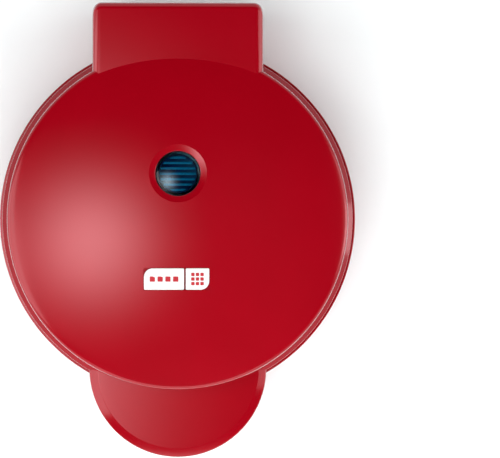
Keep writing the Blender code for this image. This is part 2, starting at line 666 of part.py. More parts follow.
def make_plate_pack(side, prefix, casing):
    """Everything that sits behind one plate, for the lid (side 1) or the base (side -1)."""
    make_liner(f"{casing}_liner", side, LID_LINER_RADIUS if side > 0 else BASE_LINER_RADIUS)
    make_plate(f"{prefix}_plate", side)
    make_element(f"{prefix}_heating_element", side)
    make_clamp(f"{prefix}_element_clamp", side)
    make_pan(f"{prefix}_reflector", side)
    for number, degrees in enumerate(CORNER_ANGLES, 1):
        x, y = on_circle(LINER_SCREW_CIRCLE, degrees)
        screw(f"{casing}_liner_screw_{number}", x, y, level(side, LINER_BACK - MM), 10 * MM, side)
    for number, degrees in enumerate(PLATE_SCREW_ANGLES, 1):
        x, y = on_circle(PLATE_SCREW_CIRCLE, degrees)
        screw(f"{prefix}_plate_screw_{number}", x, y, level(side, PAN_DEPTH + PAN_THICKNESS), 6 * MM, -side)
    screw(f"{prefix}_clamp_screw", 0, BODY_Y, level(side, CLAMP_DEPTH + CLAMP_THICKNESS), 5 * MM, -side)


# Hinge, light, badge and wiring --------------------------------------------------------------------

def make_hinge_hardware():
    axis_point = (0, HINGE.y, HINGE.z)
    for side, word in ((-1, "left"), (1, "right")):
        bush = [(BUSH_BORE, side * EAR_INNER), (BUSH_BORE, side * EAR_OUTER),
                (BUSH_RADIUS, side * EAR_OUTER), (BUSH_RADIUS, side * EAR_INNER)]
        turned(f"hinge_bush_{word}", bush, "white_insulator", axis_point, "X", 16, ring=True)
        head = 4 * MM
        pin = [(head, side * (WEB_INNER - 3.5 * MM)), (head, side * (WEB_INNER - GAP)),
               (PIN_RADIUS, side * (WEB_INNER - GAP)), (PIN_RADIUS, side * (EAR_OUTER - MM))]
        turned(f"hinge_pin_{word}", pin, "screw_steel", axis_point, "X", 16)


def make_light():
    """Lens, its retainer and the lamp behind it; heights are below the crown at the light."""
    lens_flange = LENS_RADIUS + 4 * MM
    flange_top = COLLAR_BOTTOM - GAP
    flange_back = flange_top - MM
    lens = [(lens_flange, flange_back), (lens_flange, flange_top), (LENS_RADIUS, flange_top),
            (LENS_RADIUS, -1.7 * MM), (LENS_RADIUS * 0.93, -MM), (LENS_RADIUS * 0.6, -0.45 * MM),
            (0.5 * MM, -0.15 * MM)]
    ring_top = flange_back - GAP
    ring_back = ring_top - 1.2 * MM
    retainer = [(LENS_RADIUS, ring_back), (19 * MM, ring_back), (19 * MM, ring_top), (LENS_RADIUS, ring_top)]
    rim, floor, back = ring_back - MM, ring_back - 8 * MM, ring_back - 10 * MM
    holder = [(1.5 * MM, back), (11 * MM, back), (11 * MM, rim), (9 * MM, rim), (9 * MM, floor),
              (1.5 * MM, floor)]
    lamp_foot = floor + GAP
    lamp = [(3.2 * MM, lamp_foot), (3.2 * MM, lamp_foot + 6 * MM), (2.3 * MM, lamp_foot + 7.5 * MM),
            (0.6 * MM, lamp_foot + 8 * MM)]
    for piece in (turned("light_lens", lens, "blue_lens", steps=24),
                  turned("lens_retainer", retainer, "black_plastic", steps=24, ring=True),
                  turned("lamp_holder", holder, "white_insulator", steps=16, ring=True),
                  turned("indicator_lamp", lamp, "lamp_glass")):
        lay_on_crown(piece, LIGHT_Y)


def badge_outline(span, rounded_corner):
    """Rectangle with one large round corner: -1 is the left rear corner and 1 the right front one."""
    left, right = span
    half = BADGE_LENGTH / 2
    radius = BADGE_CORNER
    if rounded_corner < 0:
        turn = arc((left + radius, half - radius), radius, math.pi / 2, math.pi, 5)
        return [(left, -half), (right, -half), (right, half)] + turn
    turn = arc((right - radius, radius - half), radius, -math.pi / 2, 0, 5)
    return [(left, half), (left, -half)] + turn + [(right, half)]


def make_badge_pocket():
    half = BADGE_LENGTH / 2 + GAP
    floor = BADGE_RISE - BADGE_THICKNESS - GAP
    pocket = box("badge_pocket", (PANEL_SPAN[0] - GAP, -half, floor), (TILE_SPAN[1] + GAP, half, 3 * MM))
    return lay_on_crown(pocket, BADGE_Y)


def make_badge():
    bottom = BADGE_RISE - BADGE_THICKNESS
    for name, span, corner in (("badge_panel", PANEL_SPAN, -1), ("badge_tile", TILE_SPAN, 1)):
        piece = prism(name, badge_outline(span, corner), bottom, BADGE_RISE, "badge_white")
        lay_on_crown(piece, BADGE_Y)


def make_wiring():
    gland = [(GLAND_BORE, REAR_Y - 5.5 * MM), (8.4 * MM, REAR_Y - 5.5 * MM),
             (8.4 * MM, REAR_Y - WALL - GAP), (GLAND_RADIUS, REAR_Y - WALL - GAP),
             (GLAND_RADIUS, REAR_Y - GAP), (GLAND_BORE, REAR_Y - GAP)]
    turned("cord_gland", gland, "rubber", (GLAND_X, 0, GLAND_Z), "Y", 16, ring=True)
    block_low = Vector((12 * MM, BODY_Y + 92 * MM, COVER_TOP + GAP))
    block_high = block_low + Vector((30 * MM, 13 * MM, 12 * MM))
    box("terminal_block", block_low, block_high, "white_insulator")
    leg = Vector((ELEMENT_LEG_X, BODY_Y + ELEMENT_LEG_Y + GAP, 0))
    lead_radius = 1.3 * MM
    low = leg + Vector((0, 0, level(-1, ELEMENT_DEPTH)))
    down = Vector((27 * MM, BODY_Y + 98 * MM, block_high.z + GAP))
    tube("base_lead", bezier((low, low + Vector((0, 12 * MM, 0)), down + Vector((0, 0, 10 * MM)), down), 10),
         lead_radius, "white_insulator")
    high = leg + Vector((0, 0, level(1, ELEMENT_DEPTH)))
    end = Vector((24 * MM, HINGE.y - 12 * MM, level(1, 8 * MM)))
    tube("lid_lead", bezier((high, high + Vector((0, 12 * MM, 0)), end - Vector((0, 8 * MM, 0)), end), 10),
         lead_radius, "white_insulator")
    fuse_height = level(-1, TUB_BACK + GAP + 2.2 * MM)
    turned("thermal_fuse", [(2.2 * MM, 22 * MM), (2.2 * MM, 35 * MM)], "sheet_steel",
           (0, BODY_Y + 20 * MM, fuse_height), "X")
    heights = (level(1, TUB_BACK + GAP), level(1, TUB_BACK + 6 * MM))
    turned("thermostat", [(9 * MM, heights[0]), (9 * MM, heights[1])], "black_plastic",
           (-26 * MM, BODY_Y + 22 * MM, 0), steps=16)


def hang_lid_on_hinge():
    """Parent every piece of the lid to an empty on the hinge axis, where the lid turns."""
    names = ("lid_shell", "lid_liner", "lid_lead", "upper_", "thermostat", "lamp_holder", "indicator_lamp",
             "light_lens", "lens_retainer", "badge_panel", "badge_tile", "hinge_pin")
    hinge = bpy.data.objects.new("lid_hinge", None)
    hinge.location = HINGE
    bpy.context.scene.collection.objects.link(hinge)
    for item in list(bpy.data.objects):
        if item.name.startswith(names) and not item.hide_render:
            item.parent = hinge
            item.matrix_parent_inverse = Matrix.Translation(-HINGE)


def main():
    clear_scene()
    for name in COLOURS:
        make_material(name)
    make_base_shell()
    make_bottom_cover()
    make_feet()
    make_cover_screws()
    make_plate_pack(-1, "lower", "base")
    make_lid_shell()
    make_plate_pack(1, "upper", "lid")
    make_hinge_hardware()
    make_light()
    make_badge()
    make_wiring()
    hang_lid_on_hinge()


main()
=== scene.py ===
# %% [markdown]
# # A round waffle maker
# The object is a small electric waffle maker: two glossy red casings hinged at the rear, with
# heart-shaped cast plates between them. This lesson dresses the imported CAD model. The model is the
# frame: it says where every part is, and every piece made here takes its place from it.

# %% Load the frame
import json
import math

import bmesh
import bpy
from mathutils import Matrix, Vector


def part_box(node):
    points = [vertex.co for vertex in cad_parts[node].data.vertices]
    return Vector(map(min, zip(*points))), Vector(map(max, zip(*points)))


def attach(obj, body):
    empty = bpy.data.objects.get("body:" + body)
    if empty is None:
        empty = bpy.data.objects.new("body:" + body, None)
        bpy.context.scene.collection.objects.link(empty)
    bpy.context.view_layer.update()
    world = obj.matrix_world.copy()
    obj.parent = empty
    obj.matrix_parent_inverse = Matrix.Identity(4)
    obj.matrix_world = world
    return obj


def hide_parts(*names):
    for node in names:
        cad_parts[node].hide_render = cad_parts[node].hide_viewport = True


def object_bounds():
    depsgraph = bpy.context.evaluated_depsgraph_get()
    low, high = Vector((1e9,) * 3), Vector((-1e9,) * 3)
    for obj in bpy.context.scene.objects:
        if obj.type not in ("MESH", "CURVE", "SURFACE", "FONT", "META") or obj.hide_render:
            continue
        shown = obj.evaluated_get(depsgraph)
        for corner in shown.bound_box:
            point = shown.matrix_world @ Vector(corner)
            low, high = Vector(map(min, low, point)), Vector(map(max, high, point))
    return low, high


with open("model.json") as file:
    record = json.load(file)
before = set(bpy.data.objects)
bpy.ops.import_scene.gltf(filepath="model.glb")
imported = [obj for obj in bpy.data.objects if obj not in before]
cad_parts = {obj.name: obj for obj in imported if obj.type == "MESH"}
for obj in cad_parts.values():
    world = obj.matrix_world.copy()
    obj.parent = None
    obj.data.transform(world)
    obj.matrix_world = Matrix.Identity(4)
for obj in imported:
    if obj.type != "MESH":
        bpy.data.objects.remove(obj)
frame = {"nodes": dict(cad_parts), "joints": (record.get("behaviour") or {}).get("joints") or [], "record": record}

cad_low, cad_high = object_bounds()
print("CAD box in mm:", [round(1000 * side, 1) for side in cad_high - cad_low])

# %% [markdown]
# ## Sizes
# The casings are drawn again here at a finer resolution than the CAD solids, so their main sizes are
# repeated from the CAD source, in millimetres. Radii are measured from the body's axis. Whatever can be
# read from the frame is read from it: the body's axis, the hinge and the parting height.

# %% Main sizes
MM = 0.001


def middle(node):
    """Centre of a CAD node's box, in millimetres."""
    low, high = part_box(node)
    return (low + high) / 2 / MM


HINGE = Vector(frame["joints"][0]["pos_m"]) / MM
BODY_Y = middle("lower_plate").y
HANDLE_Y = -88.6
REAR_Y = cad_high.y / MM
PARTING = HINGE.z
GAP = 0.3                       # clearance on each side of the parting plane
WALL = 2.5
BASE_TOP, LID_BOTTOM = PARTING - GAP, PARTING + GAP
RIM, FLANGE, WALL_FOOT, SHOULDER, CROWN = 115.5, 113.6, 110.0, 108.3, 105.1
BASE_BOTTOM, FLOOR_TOP = 4.0, 9.2
LEDGE_EDGE, LEDGE_TOP = 50.2, 53.3
CROWN_EDGE, CROWN_TOP = 83.2, 95.7
HOUSING_HALF, HOUSING_CORNER, HOUSING_TOP, HOUSING_EDGE = 54.3, 6.0, 84.0, 4.5
HOUSING_FRONT = BODY_Y + 60
HANDLE_RADIUS, HANDLE_TOP = 57.4, 53.6
TAB_RADIUS, TAB_BOTTOM, TAB_TOP = 50.0, 36.3, 43.3
BARREL = 15.7                   # round rear end of the lid, around the hinge axis
TROUGH = BARREL + 2 * GAP
WEB_INNER, WEB_OUTER = 37.4, 40.6           # faces of a web inside the barrel, from the middle
EAR_INNER, EAR_OUTER = 41.5, 50.8           # faces of an ear of the base
print("body axis at y", round(BODY_Y, 1), "hinge at", [round(side, 1) for side in HINGE])

# %% [markdown]
# ## Camera
# The product is seen from straight above, from about a metre and a half: the camera stands over the
# body's axis and turns a little to the right, which leaves room beside the body. A camera looks along its
# own -Z, so its axes are worked out by hand: looking straight down, a tracking constraint has no up.

# %% Camera
CAMERA_HEIGHT = 1500.0          # above the rim
AIM = Vector((46.9, 1.8, PARTING))
VIEW_WIDTH = 325.5              # millimetres across the picture, at the rim


def add_camera():
    data = bpy.data.cameras.new("camera")
    camera = bpy.data.objects.new("camera", data)
    bpy.context.scene.collection.objects.link(camera)
    place = Vector((0, BODY_Y, PARTING + CAMERA_HEIGHT))
    back = (place - AIM).normalized()
    right = Vector((0, 1, 0)).cross(back).normalized()
    turn = Matrix((right, back.cross(right), back)).transposed().to_4x4()
    camera.matrix_world = Matrix.Translation(place * MM) @ turn
    data.sensor_width = 36.0
    data.lens = data.sensor_width * (place - AIM).length / VIEW_WIDTH
    data.clip_start, data.clip_end = 0.05, 20.0
    bpy.context.scene.camera = camera
    return camera


print("lens in mm:", round(add_camera().data.lens, 1))

# %% [markdown]
# ## Finishes
# Every surface gets a material built from nodes. They share one recipe: a noise pattern in object
# coordinates mottles the colour between two near shades, a second one varies the roughness, and a fine
# third one raises a bump. The scale of each pattern is the real one, such as the orange peel on moulded
# gloss plastic, about a millimetre across. A value that is even all over goes straight on the shader.

# %% Finish recipe
def pattern(tree, coordinates, size_mm, detail):
    """Noise whose spots are about size_mm across."""
    noise = tree.nodes.new("ShaderNodeTexNoise")
    noise.inputs["Scale"].default_value = 1 / (size_mm * MM)
    noise.inputs["Detail"].default_value = detail
    tree.links.new(coordinates, noise.inputs["Vector"])
    return noise.outputs["Fac"]


def between(tree, value, low, high):
    """Stretch a noise value, which mostly lies between 0.3 and 0.7, over a range."""
    span = tree.nodes.new("ShaderNodeMapRange")
    span.inputs["From Min"].default_value = 0.3
    span.inputs["From Max"].default_value = 0.7
    span.inputs["To Min"].default_value = low
    span.inputs["To Max"].default_value = high
    tree.links.new(value, span.inputs["Value"])
    return span.outputs["Result"]


def finish(name, dark, light, mottle, rough, grain, depth, stretch=(1, 1, 1), **even):
    """dark, light: colours; mottle, grain: spot sizes in mm; depth: height of the bump in mm."""
    material = bpy.data.materials.new(name)
    material.use_nodes = True
    tree = material.node_tree
    shader = tree.nodes["Principled BSDF"]
    for socket, value in even.items():
        shader.inputs[socket.replace("_", " ")].default_value = value
    place = tree.nodes.new("ShaderNodeTexCoord")
    mapping = tree.nodes.new("ShaderNodeMapping")
    mapping.inputs["Scale"].default_value = stretch
    tree.links.new(place.outputs["Object"], mapping.inputs["Vector"])
    spots = mapping.outputs["Vector"]
    blend = tree.nodes.new("ShaderNodeMix")
    blend.data_type = "RGBA"
    blend.inputs["A"].default_value = (*dark, 1)
    blend.inputs["B"].default_value = (*light, 1)
    tree.links.new(between(tree, pattern(tree, spots, mottle, 3), 0, 1), blend.inputs["Factor"])
    tree.links.new(blend.outputs["Result"], shader.inputs["Base Color"])
    tree.links.new(between(tree, pattern(tree, spots, mottle * 0.7, 2), *rough), shader.inputs["Roughness"])
    bump = tree.nodes.new("ShaderNodeBump")
    bump.inputs["Strength"].default_value = 1.0
    bump.inputs["Distance"].default_value = depth * MM
    tree.links.new(pattern(tree, spots, grain, 2), bump.inputs["Height"])
    tree.links.new(bump.outputs["Normal"], shader.inputs["Normal"])
    return material


# %% Finishes of this object
GLOSSY = {"Coat_Weight": 1.0, "Coat_Roughness": 0.12, "Specular_Tint": (1.0, 0.06, 0.12, 1.0)}
red_gloss = finish("red_gloss", (0.272, 0.0002, 0.0052), (0.288, 0.0003, 0.006), 40, (0.13, 0.17),
                   1.6, 0.0006, **GLOSSY)
red_ring = finish("red_ring", (0.255, 0.0002, 0.005), (0.275, 0.0003, 0.0056), 25, (0.22, 0.3),
                  0.8, 0.001, **GLOSSY)
rubber = finish("rubber", (0.018, 0.018, 0.018), (0.035, 0.035, 0.034), 3, (0.7, 0.85), 0.35, 0.03)
black_plastic = finish("black_plastic", (0.012, 0.012, 0.013), (0.02, 0.02, 0.02), 12, (0.42, 0.55),
                       0.4, 0.02)
nonstick = finish("nonstick", (0.017, 0.017, 0.018), (0.032, 0.031, 0.031), 0.7, (0.3, 0.42), 0.5, 0.008,
                  Metallic=0.35)
heater_steel = finish("heater_steel", (0.2, 0.15, 0.12), (0.4, 0.38, 0.36), 9, (0.35, 0.5), 0.6, 0.01,
                      Metallic=1.0)
sheet_steel = finish("sheet_steel", (0.5, 0.5, 0.5), (0.62, 0.62, 0.61), 6, (0.28, 0.4), 0.5, 0.004,
                     stretch=(0.1, 1, 1), Metallic=1.0)
screw_steel = finish("screw_steel", (0.42, 0.42, 0.43), (0.56, 0.56, 0.56), 1.5, (0.25, 0.4), 0.3, 0.004,
                     Metallic=1.0)
insulator = finish("insulator", (0.7, 0.67, 0.6), (0.8, 0.78, 0.72), 4, (0.5, 0.65), 0.5, 0.01)
badge_white = finish("badge_white", (0.7, 0.7, 0.7), (0.74, 0.74, 0.73), 6, (0.3, 0.4), 0.5, 0.002)
print("finishes:", len(bpy.data.materials))

# %% [markdown]
# ## Lofts and lathe work
# Moulded parts like these are mostly turned shapes and rounded blocks. Both are lofts: a skin through
# loops of points, closed at its ends. A modelling program offers Spin and Screw for this, but a short
# function keeps exact control of the steps, and a single point makes a clean pole on the axis. Corners
# are rounded in the outline itself, because a bevel on a finished shape can't tell which edges matter.

# %% Outlines
def arc(centre, radius, start, end, steps):
    """Points of a circular arc, with angles in degrees and both ends included."""
    angles = [math.radians(start + (end - start) * step / steps) for step in range(steps + 1)]
    return [(centre[0] + radius * math.cos(angle), centre[1] + radius * math.sin(angle))
            for angle in angles]


def rounded(corners, steps=6, closed=False):
    """An outline through (x, y, radius) corners, each replaced by an arc of its radius."""
    line = []
    for index, (x, y, radius) in enumerate(corners):
        if not radius or (not closed and index in (0, len(corners) - 1)):
            line.append((x, y))
            continue
        corner = Vector((x, y))
        back = (Vector(corners[index - 1][:2]) - corner).normalized()
        ahead = (Vector(corners[(index + 1) % len(corners)][:2]) - corner).normalized()
        half = back.angle(ahead) / 2
        centre = corner + (back + ahead).normalized() * radius / math.sin(half)
        start = corner + back * radius / math.tan(half) - centre
        end = corner + ahead * radius / math.tan(half) - centre
        for step in range(steps + 1):
            point = start.lerp(end, step / steps).normalized() * radius + centre
            line.append((point.x, point.y))
    return line


# %% Solids
MARKS = 8                       # material slots, used to tell apart the faces of joined solids
blank = bpy.data.materials.new("blank")


def add_object(name, mesh):
    item = bpy.data.objects.new(name, mesh)
    bpy.context.scene.collection.objects.link(item)
    return item


def solid(name, loops, mark=0, ring=False):
    """A closed skin through loops of points. A loop may be a single point, which makes a pole."""
    build = bmesh.new()
    rows = [[build.verts.new(point) for point in loop] for loop in loops]
    pairs = list(zip(rows, rows[1:]))
    if ring:
        pairs.append((rows[-1], rows[0]))
    for near, far in pairs:
        if len(near) == len(far) == 1:
            continue
        for index in range(max(len(near), len(far))):
            after = index + 1
            corners = (near[index % len(near)], near[after % len(near)],
                       far[after % len(far)], far[index % len(far)])
            build.faces.new(list(dict.fromkeys(corners)))
    for row in (rows[0], rows[-1]):
        if len(row) > 2 and not ring:
            build.faces.new(row)
    bmesh.ops.recalc_face_normals(build, faces=build.faces)
    for face in build.faces:
        face.material_index = mark
    mesh = bpy.data.meshes.new(name)
    build.to_mesh(mesh)
    build.free()
    for _ in range(MARKS):
        mesh.materials.append(blank)
    return add_object(name, mesh)


def turned(name, profile, centre=None, axis="Z", steps=96, mark=0, ring=False):
    """Turn (radius, distance along the axis) points about an axis; a zero radius makes a pole."""
    middle_point = Vector(centre or (0, BODY_Y, 0))
    loops = []
    for radius, along in profile:
        loop = []
        for step in range(steps if radius else 1):
            angle = 2 * math.pi * step / steps
            u, v = radius * math.cos(angle), radius * math.sin(angle)
            offset = {"X": (along, u, v), "Y": (u, along, v), "Z": (u, v, along)}[axis]
            loop.append(middle_point + Vector(offset))
        loops.append(loop)
    return solid(name, loops, mark, ring)


def prism(name, layers, mark=0):
    """A block through (outline, height) layers."""
    return solid(name, [[(x, y, height) for x, y in outline] for outline, height in layers], mark)


def side_prism(name, outline, left, right, mark=0):
    """Extrude an outline of (y, z) offsets from the hinge axis between two x positions."""
    return solid(name, [[(x, HINGE.y + y, HINGE.z + z) for y, z in outline] for x in (left, right)], mark)


# %% [markdown]
# ## Joining and cutting
# The casings are joined from a few simple solids and then hollowed with Booleans, much as a mould is
# milled. Each solid keeps its own mark in its faces' material index, so the seams between two solids can
# be found afterwards and kept crisp, while each surface stays smooth. Auto smooth by angle alone would
# round off the shallow seams, such as the one between the crown and the hinge housing.

# %% Machining
def bake(item):
    """Turn an object with its modifiers into a plain mesh."""
    graph = bpy.context.evaluated_depsgraph_get()
    mesh = bpy.data.meshes.new_from_object(item.evaluated_get(graph))
    item.modifiers.clear()
    item.data = mesh
    return item


def machine(target, *work):
    """Add (+) or take away (-) solids, in order."""
    for sign, tool in work:
        change = target.modifiers.new(tool.name, "BOOLEAN")
        change.operation = {"+": "UNION", "-": "DIFFERENCE", "x": "INTERSECT"}[sign]
        change.solver = "EXACT"
        change.object = tool
    bake(target)
    for _, tool in work:
        bpy.data.objects.remove(tool)
    return target


def crease(item, degrees=32):
    """Smooth shading, sharp at steep edges and along every seam between two marks."""
    mesh = item.data
    mesh.shade_smooth()
    mesh.set_sharp_from_angle(angle=math.radians(degrees))
    marks = {}
    for face in mesh.polygons:
        for key in face.edge_keys:
            marks.setdefault(key, set()).add(face.material_index)
    for edge in mesh.edges:
        if len(marks.get(edge.key, ())) > 1:
            edge.use_edge_sharp = True
    return item


def open_edges(mesh):
    """Edges that don't join exactly two faces; a closed skin has none."""
    counts = {}
    for face in mesh.polygons:
        for key in face.edge_keys:
            counts[key] = counts.get(key, 0) + 1
    return sum(1 for count in counts.values() if count != 2)


def fit(item, body, slot, material, *nodes):
    """Finish a piece: metres, one material, and its place on the frame."""
    crease(item)
    mesh = item.data
    mesh.transform(Matrix.Scale(MM, 4))
    mesh.polygons.foreach_set("material_index", [0] * len(mesh.polygons))
    mesh.materials.clear()
    mesh.materials.append(material)
    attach(item, body)
    if nodes:
        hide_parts(*nodes)
    print(item.name, "faces", len(mesh.polygons), "open edges", open_edges(mesh))
    return item

# %% [markdown]
# ## Lid casing
# The lid is a dome with a flanged ledge round its foot, a half-round handle in front and a block at the
# rear that ends in a round barrel on the hinge axis. The dome is turned in 256 steps, because a gloss
# surface shows every facet. Its crown is a shallow bowl shape, so its height has a simple rule.

# %% Dome, housing, barrel and handle
def crown_height(x, y):
    """Height of the crown over a point, in millimetres."""
    return CROWN_TOP - (CROWN_TOP - CROWN_EDGE) * (x * x + (y - BODY_Y) ** 2) / CROWN ** 2


def make_dome():
    start, stations = CROWN - 2, 34
    corners = [(0, LID_BOTTOM, 0), (FLANGE, LID_BOTTOM, 0.3), (FLANGE, LEDGE_EDGE, 1.2),
               (WALL_FOOT, LEDGE_TOP, 1.5), (SHOULDER, crown_height(SHOULDER, BODY_Y), 3.0),
               (start, crown_height(start, BODY_Y), 0)]
    radii = [start * step / stations for step in range(stations - 1, -1, -1)]
    profile = rounded(corners, 8)[1:] + [(radius, crown_height(radius, BODY_Y)) for radius in radii]
    return turned("lid_casing", profile, steps=256)


def rear_section(x):
    """Section of the rear block at one x position: flat top, round edge, and the barrel below."""
    over = max(0.0, abs(x) - (HOUSING_HALF - HOUSING_CORNER))
    radius = BARREL - HOUSING_CORNER + math.sqrt(HOUSING_CORNER ** 2 - over ** 2)
    edge = HOUSING_EDGE
    over = max(0.0, abs(x) - (HOUSING_HALF - edge))
    crest = HOUSING_TOP - 0.9 * (x / HOUSING_HALF) ** 2 - edge + math.sqrt(edge ** 2 - over ** 2)
    line = [(HOUSING_FRONT, LID_BOTTOM + 0.04), (HOUSING_FRONT, crest)]
    line += arc((HINGE.y + radius - edge, crest - edge), edge, 90, 0, 10)
    line += arc((HINGE.y, HINGE.z), radius, 0, -180, 36)
    line += [(HINGE.y - radius, LID_BOTTOM + 0.04)]
    return [(x, y, z) for y, z in line]


def make_rear_block():
    bend = [HOUSING_HALF - HOUSING_CORNER * (1 - math.sin(math.radians(10 * step))) for step in range(10)]
    half = [bend[0] * step / 8 for step in range(1, 8)] + bend
    stations = [-x for x in reversed(half)] + [0] + half
    return solid("rear_block", [rear_section(x) for x in stations], mark=1)


def make_handle():
    """A half-round tab, a little crowned from side to side, with a soft edge band."""
    crown, bottom, steps = 1.5, LID_BOTTOM + 0.02, 144
    corners = [(HANDLE_RADIUS - 0.3, bottom, 0), (HANDLE_RADIUS, bottom + 0.3, 0),
               (HANDLE_RADIUS, HANDLE_TOP - 1.5, 0.9), (HANDLE_RADIUS - 5.4, HANDLE_TOP, 4.0),
               (45, HANDLE_TOP, 0)]
    loops = []
    for radius, height in rounded(corners, 8) + [(radius, HANDLE_TOP) for radius in (36, 26, 16, 8, 0)]:
        sag = crown if height > bottom + 1 else 0
        loop = []
        for step in range(steps if radius else 1):
            angle = 2 * math.pi * step / steps
            x, y = radius * math.cos(angle), HANDLE_Y + radius * math.sin(angle)
            loop.append((x, y, max(bottom, height - sag * (x / HANDLE_RADIUS) ** 2)))
        loops.append(loop)
    return solid("lid_handle", loops, mark=3)


# %% Hollows of the lid
def housing_outline(inset):
    """The rear housing from above: straight sides and two round rear corners."""
    side, rear = HOUSING_HALF - inset, REAR_Y - inset
    radius = HOUSING_CORNER - inset
    return rounded([(-side, HOUSING_FRONT, 0), (side, HOUSING_FRONT, 0), (side, rear, radius),
                    (-side, rear, radius), (-side, HOUSING_FRONT + 1, 0)])[:-1]


def crescent(tab_radius, body_radius):
    """The part of a round tab around the handle's centre that lies outside the round body."""
    offset = BODY_Y - HANDLE_Y
    meet_y = -(body_radius ** 2 - tab_radius ** 2 + offset ** 2) / (2 * offset)
    meet_x = math.sqrt(body_radius ** 2 - meet_y ** 2)
    tab_angle = math.degrees(math.atan2(meet_y + offset, meet_x))
    body_angle = math.degrees(math.atan2(meet_y, meet_x))
    outer = arc((0, HANDLE_Y), tab_radius, tab_angle, -180 - tab_angle, 48)
    return outer + arc((0, BODY_Y), body_radius, -180 - body_angle, body_angle, 24)[1:-1]


def lid_hollows():
    dome = [(110.8, PARTING - GAP), (110.8, 50.2), (107.5, 50.2), (105.8, 77.5), (103.5, 80.4)]
    dome += [(radius, crown_height(radius, BODY_Y) - WALL) for radius in (86, 68, 50, 30, 12, 0)]
    yield turned("dome_hollow", dome, mark=4)
    for name, outline, low, high in (
            ("housing_hollow", housing_outline(WALL), PARTING, HOUSING_TOP - WALL),
            ("handle_hollow", crescent(HANDLE_RADIUS - WALL, FLANGE + GAP), LID_BOTTOM - 1,
             HANDLE_TOP - WALL - 1.5)):
        yield prism(name, [(outline, low), (outline, high)], mark=4)
    inner = BARREL - WALL
    channel = arc((0, 0), inner, -180, 0, 24) + [(inner, 14), (-inner, 14)]
    yield side_prism("barrel_hollow", channel, -37.5, 37.5, mark=4)


def ear_slots():
    reach = TROUGH + WALL
    outline = [(-reach, -reach), (reach, -reach), (reach, 2 * GAP), (-reach, 2 * GAP)]
    for side in (-1, 1):
        ends = sorted((side * (WEB_OUTER - 0.1), side * (EAR_OUTER + 1)))
        yield side_prism("ear_slot", outline, *ends, mark=5)


# %% Places on the crown
LIGHT_Y = BODY_Y + 28.8
BADGE_Y = middle("badge_panel").y


def lay_on_crown(item, y):
    """Move a piece modelled around the origin onto the crown, square to its surface."""
    slope = math.atan(-2 * (CROWN_TOP - CROWN_EDGE) * (y - BODY_Y) / CROWN ** 2)
    place = Matrix.Translation((0, y, crown_height(0, y)))
    item.data.transform(place @ Matrix.Rotation(slope, 4, "X"))
    return item


def on_crown(name, layers, mark=0):
    """A block through (outline, rise above the crown) layers, bent to follow the crown."""
    loops = [[(x, y, crown_height(x, y) + rise) for x, y in outline] for outline, rise in layers]
    return solid(name, loops, mark)


def light_opening():
    """The collar under the crown, and the dished recess with the hole for the lens."""
    collar = turned("collar", [(16.3, -6.6), (16.3, -1.7)], (0, 0, 0), steps=64, mark=6)
    dish = rounded([(14.3, -8, 0), (14.3, -1.4, 0.35), (18.4, -0.35, 2.5), (22.4, 0.8, 0)], 5)
    recess = turned("recess", dish, (0, 0, 0), steps=128, mark=6)
    return lay_on_crown(collar, LIGHT_Y), lay_on_crown(recess, LIGHT_Y)


BADGE_HALF, BADGE_RISE = 6.75, 0.45         # half its depth, and how far it stands out of the crown
PANEL, TILE = (-21.4, 3.9), (4.9, 19.7)     # the two pieces of the badge, from left to right


def pocket_outline():
    """One rectangle round both pieces of the badge, with a gap all round."""
    half, left, right, corner = BADGE_HALF + GAP, PANEL[0] - GAP, TILE[1] + GAP, 0.6
    corners = [(left, -half, corner), (right, -half, corner), (right, half, corner), (left, half, corner)]
    return [(x, BADGE_Y + y) for x, y in rounded(corners, 8, closed=True)]


print("light at y", round(LIGHT_Y, 1), "badge at y", round(BADGE_Y, 1))

# %% Machine the lid
collar, recess = light_opening()
pocket = pocket_outline()
webs = [turned("web", [(BARREL - 1, end), (BARREL - 1, end + WEB_OUTER - WEB_INNER)], HINGE, "X", 48, 4)
        for end in (-WEB_OUTER, WEB_INNER)]
bores = [turned("web_bore", [(2.8, end), (2.8, end + 5)], HINGE, "X", 24, 5) for end in (-41.5, 36.5)]
lid = machine(make_dome(), ("+", make_rear_block()), ("+", make_handle()),
              *[("-", hollow) for hollow in lid_hollows()], *[("-", slot) for slot in ear_slots()],
              *[("+", web) for web in webs], *[("-", bore) for bore in bores],
              ("+", collar), ("-", recess),
              ("-", on_crown("badge_pocket", [(pocket, -0.85), (pocket, 3.0)], 7)))
fit(lid, "lid", "casing", red_gloss, "lid_shell")

# %% [markdown]
# ## Base casing
# The base is a shallow tub with the widest rim of the object, a tab under the handle and the lower half
# of the rear housing. A round trough lets the lid's barrel turn, and two ears stand in it to carry the
# hinge pins. The same lathe and the same cutters make it.

# %% Outside of the base
def make_tub():
    corners = [(0, BASE_BOTTOM, 0), (98, BASE_BOTTOM, 1.5), (108.6, 13, 14), (110.7, 37.6, 1.5),
               (RIM, 40.3, 1.0), (RIM, BASE_TOP, 0.6), (0, BASE_TOP, 0)]
    return turned("base_casing", rounded(corners, 8)[1:-1], steps=256)


def make_base_housing():
    layers = [(housing_outline(1.2), BASE_BOTTOM), (housing_outline(0.35), BASE_BOTTOM + 0.35),
              (housing_outline(0), BASE_BOTTOM + 1.2), (housing_outline(0), BASE_TOP - 0.4),
              (housing_outline(0.4), BASE_TOP)]
    return prism("base_housing", layers, mark=1)


def make_tab():
    corners = [(0, TAB_BOTTOM, 0), (TAB_RADIUS, TAB_BOTTOM, 0.5), (TAB_RADIUS, TAB_TOP, 1.5),
               (0, TAB_TOP, 0)]
    return turned("base_tab", rounded(corners)[1:-1], (0, HANDLE_Y, 0), steps=128, mark=3)


# %% Hinge side of the base
OPEN_ANGLE = frame["joints"][0]["range_deg"][1]


